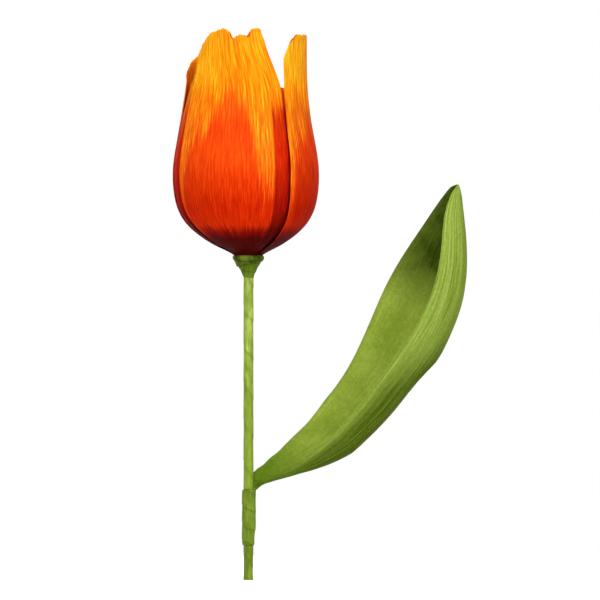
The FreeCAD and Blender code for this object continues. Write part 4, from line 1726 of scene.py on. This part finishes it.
    def build_root(self, outside: Array, inside: Array) -> None:
        """Makes the root, whose fold closes on the stem's side and goes down under the wrap.

        Args:
            outside: The leaf's outside.
            inside: Its inside.
        """
        share = np.linspace(-1, 1, self.columns)
        here = np.linspace(0, 1, self.root_rows)[:, None, None]
        side = np.sin(share * np.pi / 2)
        bent = np.abs(side)
        rims = np.where(share > 0, self.root_rims[Wall.FAR], self.root_rims[Wall.NEAR])
        swell = 0.35 * smooth(share, 0.0, 0.6)[:, None] * np.sin(here * np.pi) ** 2 * (0, 0, 1)
        (x, z), (deep, half), sheets = self.root_low, self.root_width, []
        for grid, shrink, proud in ((outside, 0.0, 0.04), (inside, 0.2, -0.04)):
            tied = np.stack([
                x + (deep - shrink) * (1 - bent) ** 4, (half - shrink) * side,
                z + shrink + rims * bent**1.2,
            ], axis=-1)
            joined, slope = grid[4] + facing(grid)[4] * proud, (grid[6] - grid[3]) * 3.0
            sheets.append(swell + hermite(here, tied, (joined - tied) * 0.7, joined, slope))
        way, share = np.broadcast_arrays(np.linspace(-0.04, 0.02, self.root_rows)[:, None], share)
        across = (share + 1) / 2
        marks = {
            "rise": np.clip(way, 0, 1), "rim": 1 - inward(across, self.rim),
            # Painted shade along the fold at the root.
            "shade": (1 - smooth(np.abs(share), 0.0, 0.4)) * 0.5,
        }
        piece = closed_sheet("leaf_root", *sheets, marks, across, way)
        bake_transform(piece)
        settle(piece, None, "leaf_husk", finish=LEAF_HUSK)


@dataclass
class Studio:
    """The pale floor, the soft lights and the camera, in metres.

    Attributes:
        aim: What the camera looks at, along X and Z.
        distance: How far the camera stands in front of the stem.
        lens: Its focal length in millimetres.
        lamps: The name, place, size and watts of each lamp.
        flower: What the lamps face.
        floor_sides: The floor's sides.
        floor_radius: Its radius in millimetres.
        floor_drop: How far it lies under the stem's foot in millimetres.
        glow: How brightly the floor shines to the eye.
        sky_tones: The light from below and from above.
    """

    aim: Span = (0.01648, 0.0896)
    distance: float = 3.2
    lens: float = 600.0
    lamps: tuple[tuple[str, Place, float, float], ...] = (
        ("key_light", (-0.42, -1.0, 0.74), 0.42, 9.2),
        ("fill_light", (0.80, -0.80, 0.40), 0.6, 6.6),
        ("back_light", (-0.30, 1.15, 0.60), 0.7, 6.0),
        ("top_light", (0.05, -0.10, 1.25), 0.5, 5.0),
    )
    flower: Place = (0.01, 0, 0.11)
    floor_sides: int = 96
    floor_radius: float = 300.0
    floor_drop: float = 0.02
    floor_tones: Stops = dyes((0.0, 196, 196, 194), (1.0, 206, 206, 204))
    glow: float = 0.72
    sky_tones: Stops = ((0.0, (0.10, 0.10, 0.10, 1)), (1.0, (0.52, 0.52, 0.52, 1)))

    @staticmethod
    def hang(name: str, data: bpy.types.ID, place: Place) -> Piece:
        """Puts a lamp or the camera in its place.

        Args:
            name: Its name.
            data: The lamp or the camera.
            place: Where it goes.

        Returns:
            Its object, in the scene.
        """
        made = bpy.data.objects.new(name, data)
        made.location = place
        bpy.context.scene.collection.objects.link(made)
        return made

    @staticmethod
    def bare(tree: bpy.types.NodeTree) -> Graph:
        """A tree's nodes, with none of them left in it."""
        tree.nodes.clear()
        return Graph(tree)

    @staticmethod
    def seen(graph: Graph) -> Socket:
        """Tells what the eye sees from what lights the flower.

        Args:
            graph: The nodes to add to.

        Returns:
            One where a ray comes from the camera, a reflection or through glass.
        """
        rays = graph.add("ShaderNodeLightPath").outputs
        either = graph.math("MAXIMUM", rays["Is Camera Ray"], rays["Is Glossy Ray"])
        return graph.math("MAXIMUM", either, rays["Is Transmission Ray"])

    def build(self) -> None:
        """Makes the floor, the world, the lamps and the camera."""
        self.floor()
        self.sky()
        for name, place, size, power in self.lamps:
            data = bpy.data.lights.new(name, "AREA")
            data.size, data.energy = size, power
            way = Vector(self.flower) - Vector(place)
            self.hang(name, data, place).rotation_euler = way.to_track_quat("-Z", "Y").to_euler()
        data = bpy.data.cameras.new("camera")
        data.lens, data.sensor_width = self.lens, 36.0
        data.clip_start, data.clip_end = 0.05, 20.0
        camera = self.hang("camera", data, (self.aim[0], -self.distance, self.aim[1]))
        camera.rotation_euler = (math.pi / 2, 0, 0)
        scene = bpy.context.scene
        scene.camera, scene.view_settings.view_transform = camera, "Standard"

    def floor(self) -> None:
        """Makes the floor: white to the eye, with the flower's shadow on it."""
        turns = np.linspace(0, 2 * np.pi, self.floor_sides, endpoint=False)
        ring = np.stack([np.cos(turns), np.sin(turns), turns * 0], axis=-1)
        points = ring * self.floor_radius - (0, 0, self.floor_drop)
        floor = add_object("floor", points, [range(len(points))])
        made = bpy.data.materials.new("pale_floor")
        made.use_nodes = True
        graph = self.bare(made.node_tree)
        tone = graph.ramp(graph.noise(graph.place(), 60.0, rough=0.5), self.floor_tones)
        matte = graph.out("ShaderNodeBsdfDiffuse", {"Color": tone})
        glow = graph.times(self.seen(graph), self.glow)
        white = graph.out("ShaderNodeEmission", {"Color": WHITE, "Strength": glow})
        mixed = graph.out("ShaderNodeAddShader", {0: matte, 1: white})
        graph.add("ShaderNodeOutputMaterial", {"Surface": mixed})
        floor.data.materials.append(made)
        floor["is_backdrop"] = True

    def sky(self) -> None:
        """Makes the white surroundings, and a softer light from above than from below."""
        world = bpy.data.worlds.new("studio")
        bpy.context.scene.world = world
        world.use_nodes = True
        graph = self.bare(world.node_tree)
        up = graph.add("ShaderNodeSeparateXYZ", {0: graph.place("Generated")}).outputs[2]
        soft = graph.ramp(graph.span(up, -0.7, 0.7), self.sky_tones)
        light, white = (
            graph.out("ShaderNodeBackground", {"Color": colour, "Strength": 1.0})
            for colour in (soft, WHITE)
        )
        mixed = graph.out("ShaderNodeMixShader", {0: self.seen(graph), 1: light, 2: white})
        graph.add("ShaderNodeOutputWorld", {"Surface": mixed})


def corners() -> list[list[float]]:
    """The lowest and the highest corner of what shows of the object."""
    return [[float(x) for x in corner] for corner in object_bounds()]


def main() -> None:
    """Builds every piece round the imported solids."""
    logging.basicConfig(level=logging.INFO, format="%(name)s %(message)s")
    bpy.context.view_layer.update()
    for part in (Stem(), Cup(), Leaf(), Studio()):
        part.build()
    LOG.info("boxes written")


if __name__ == "__main__":
    main()
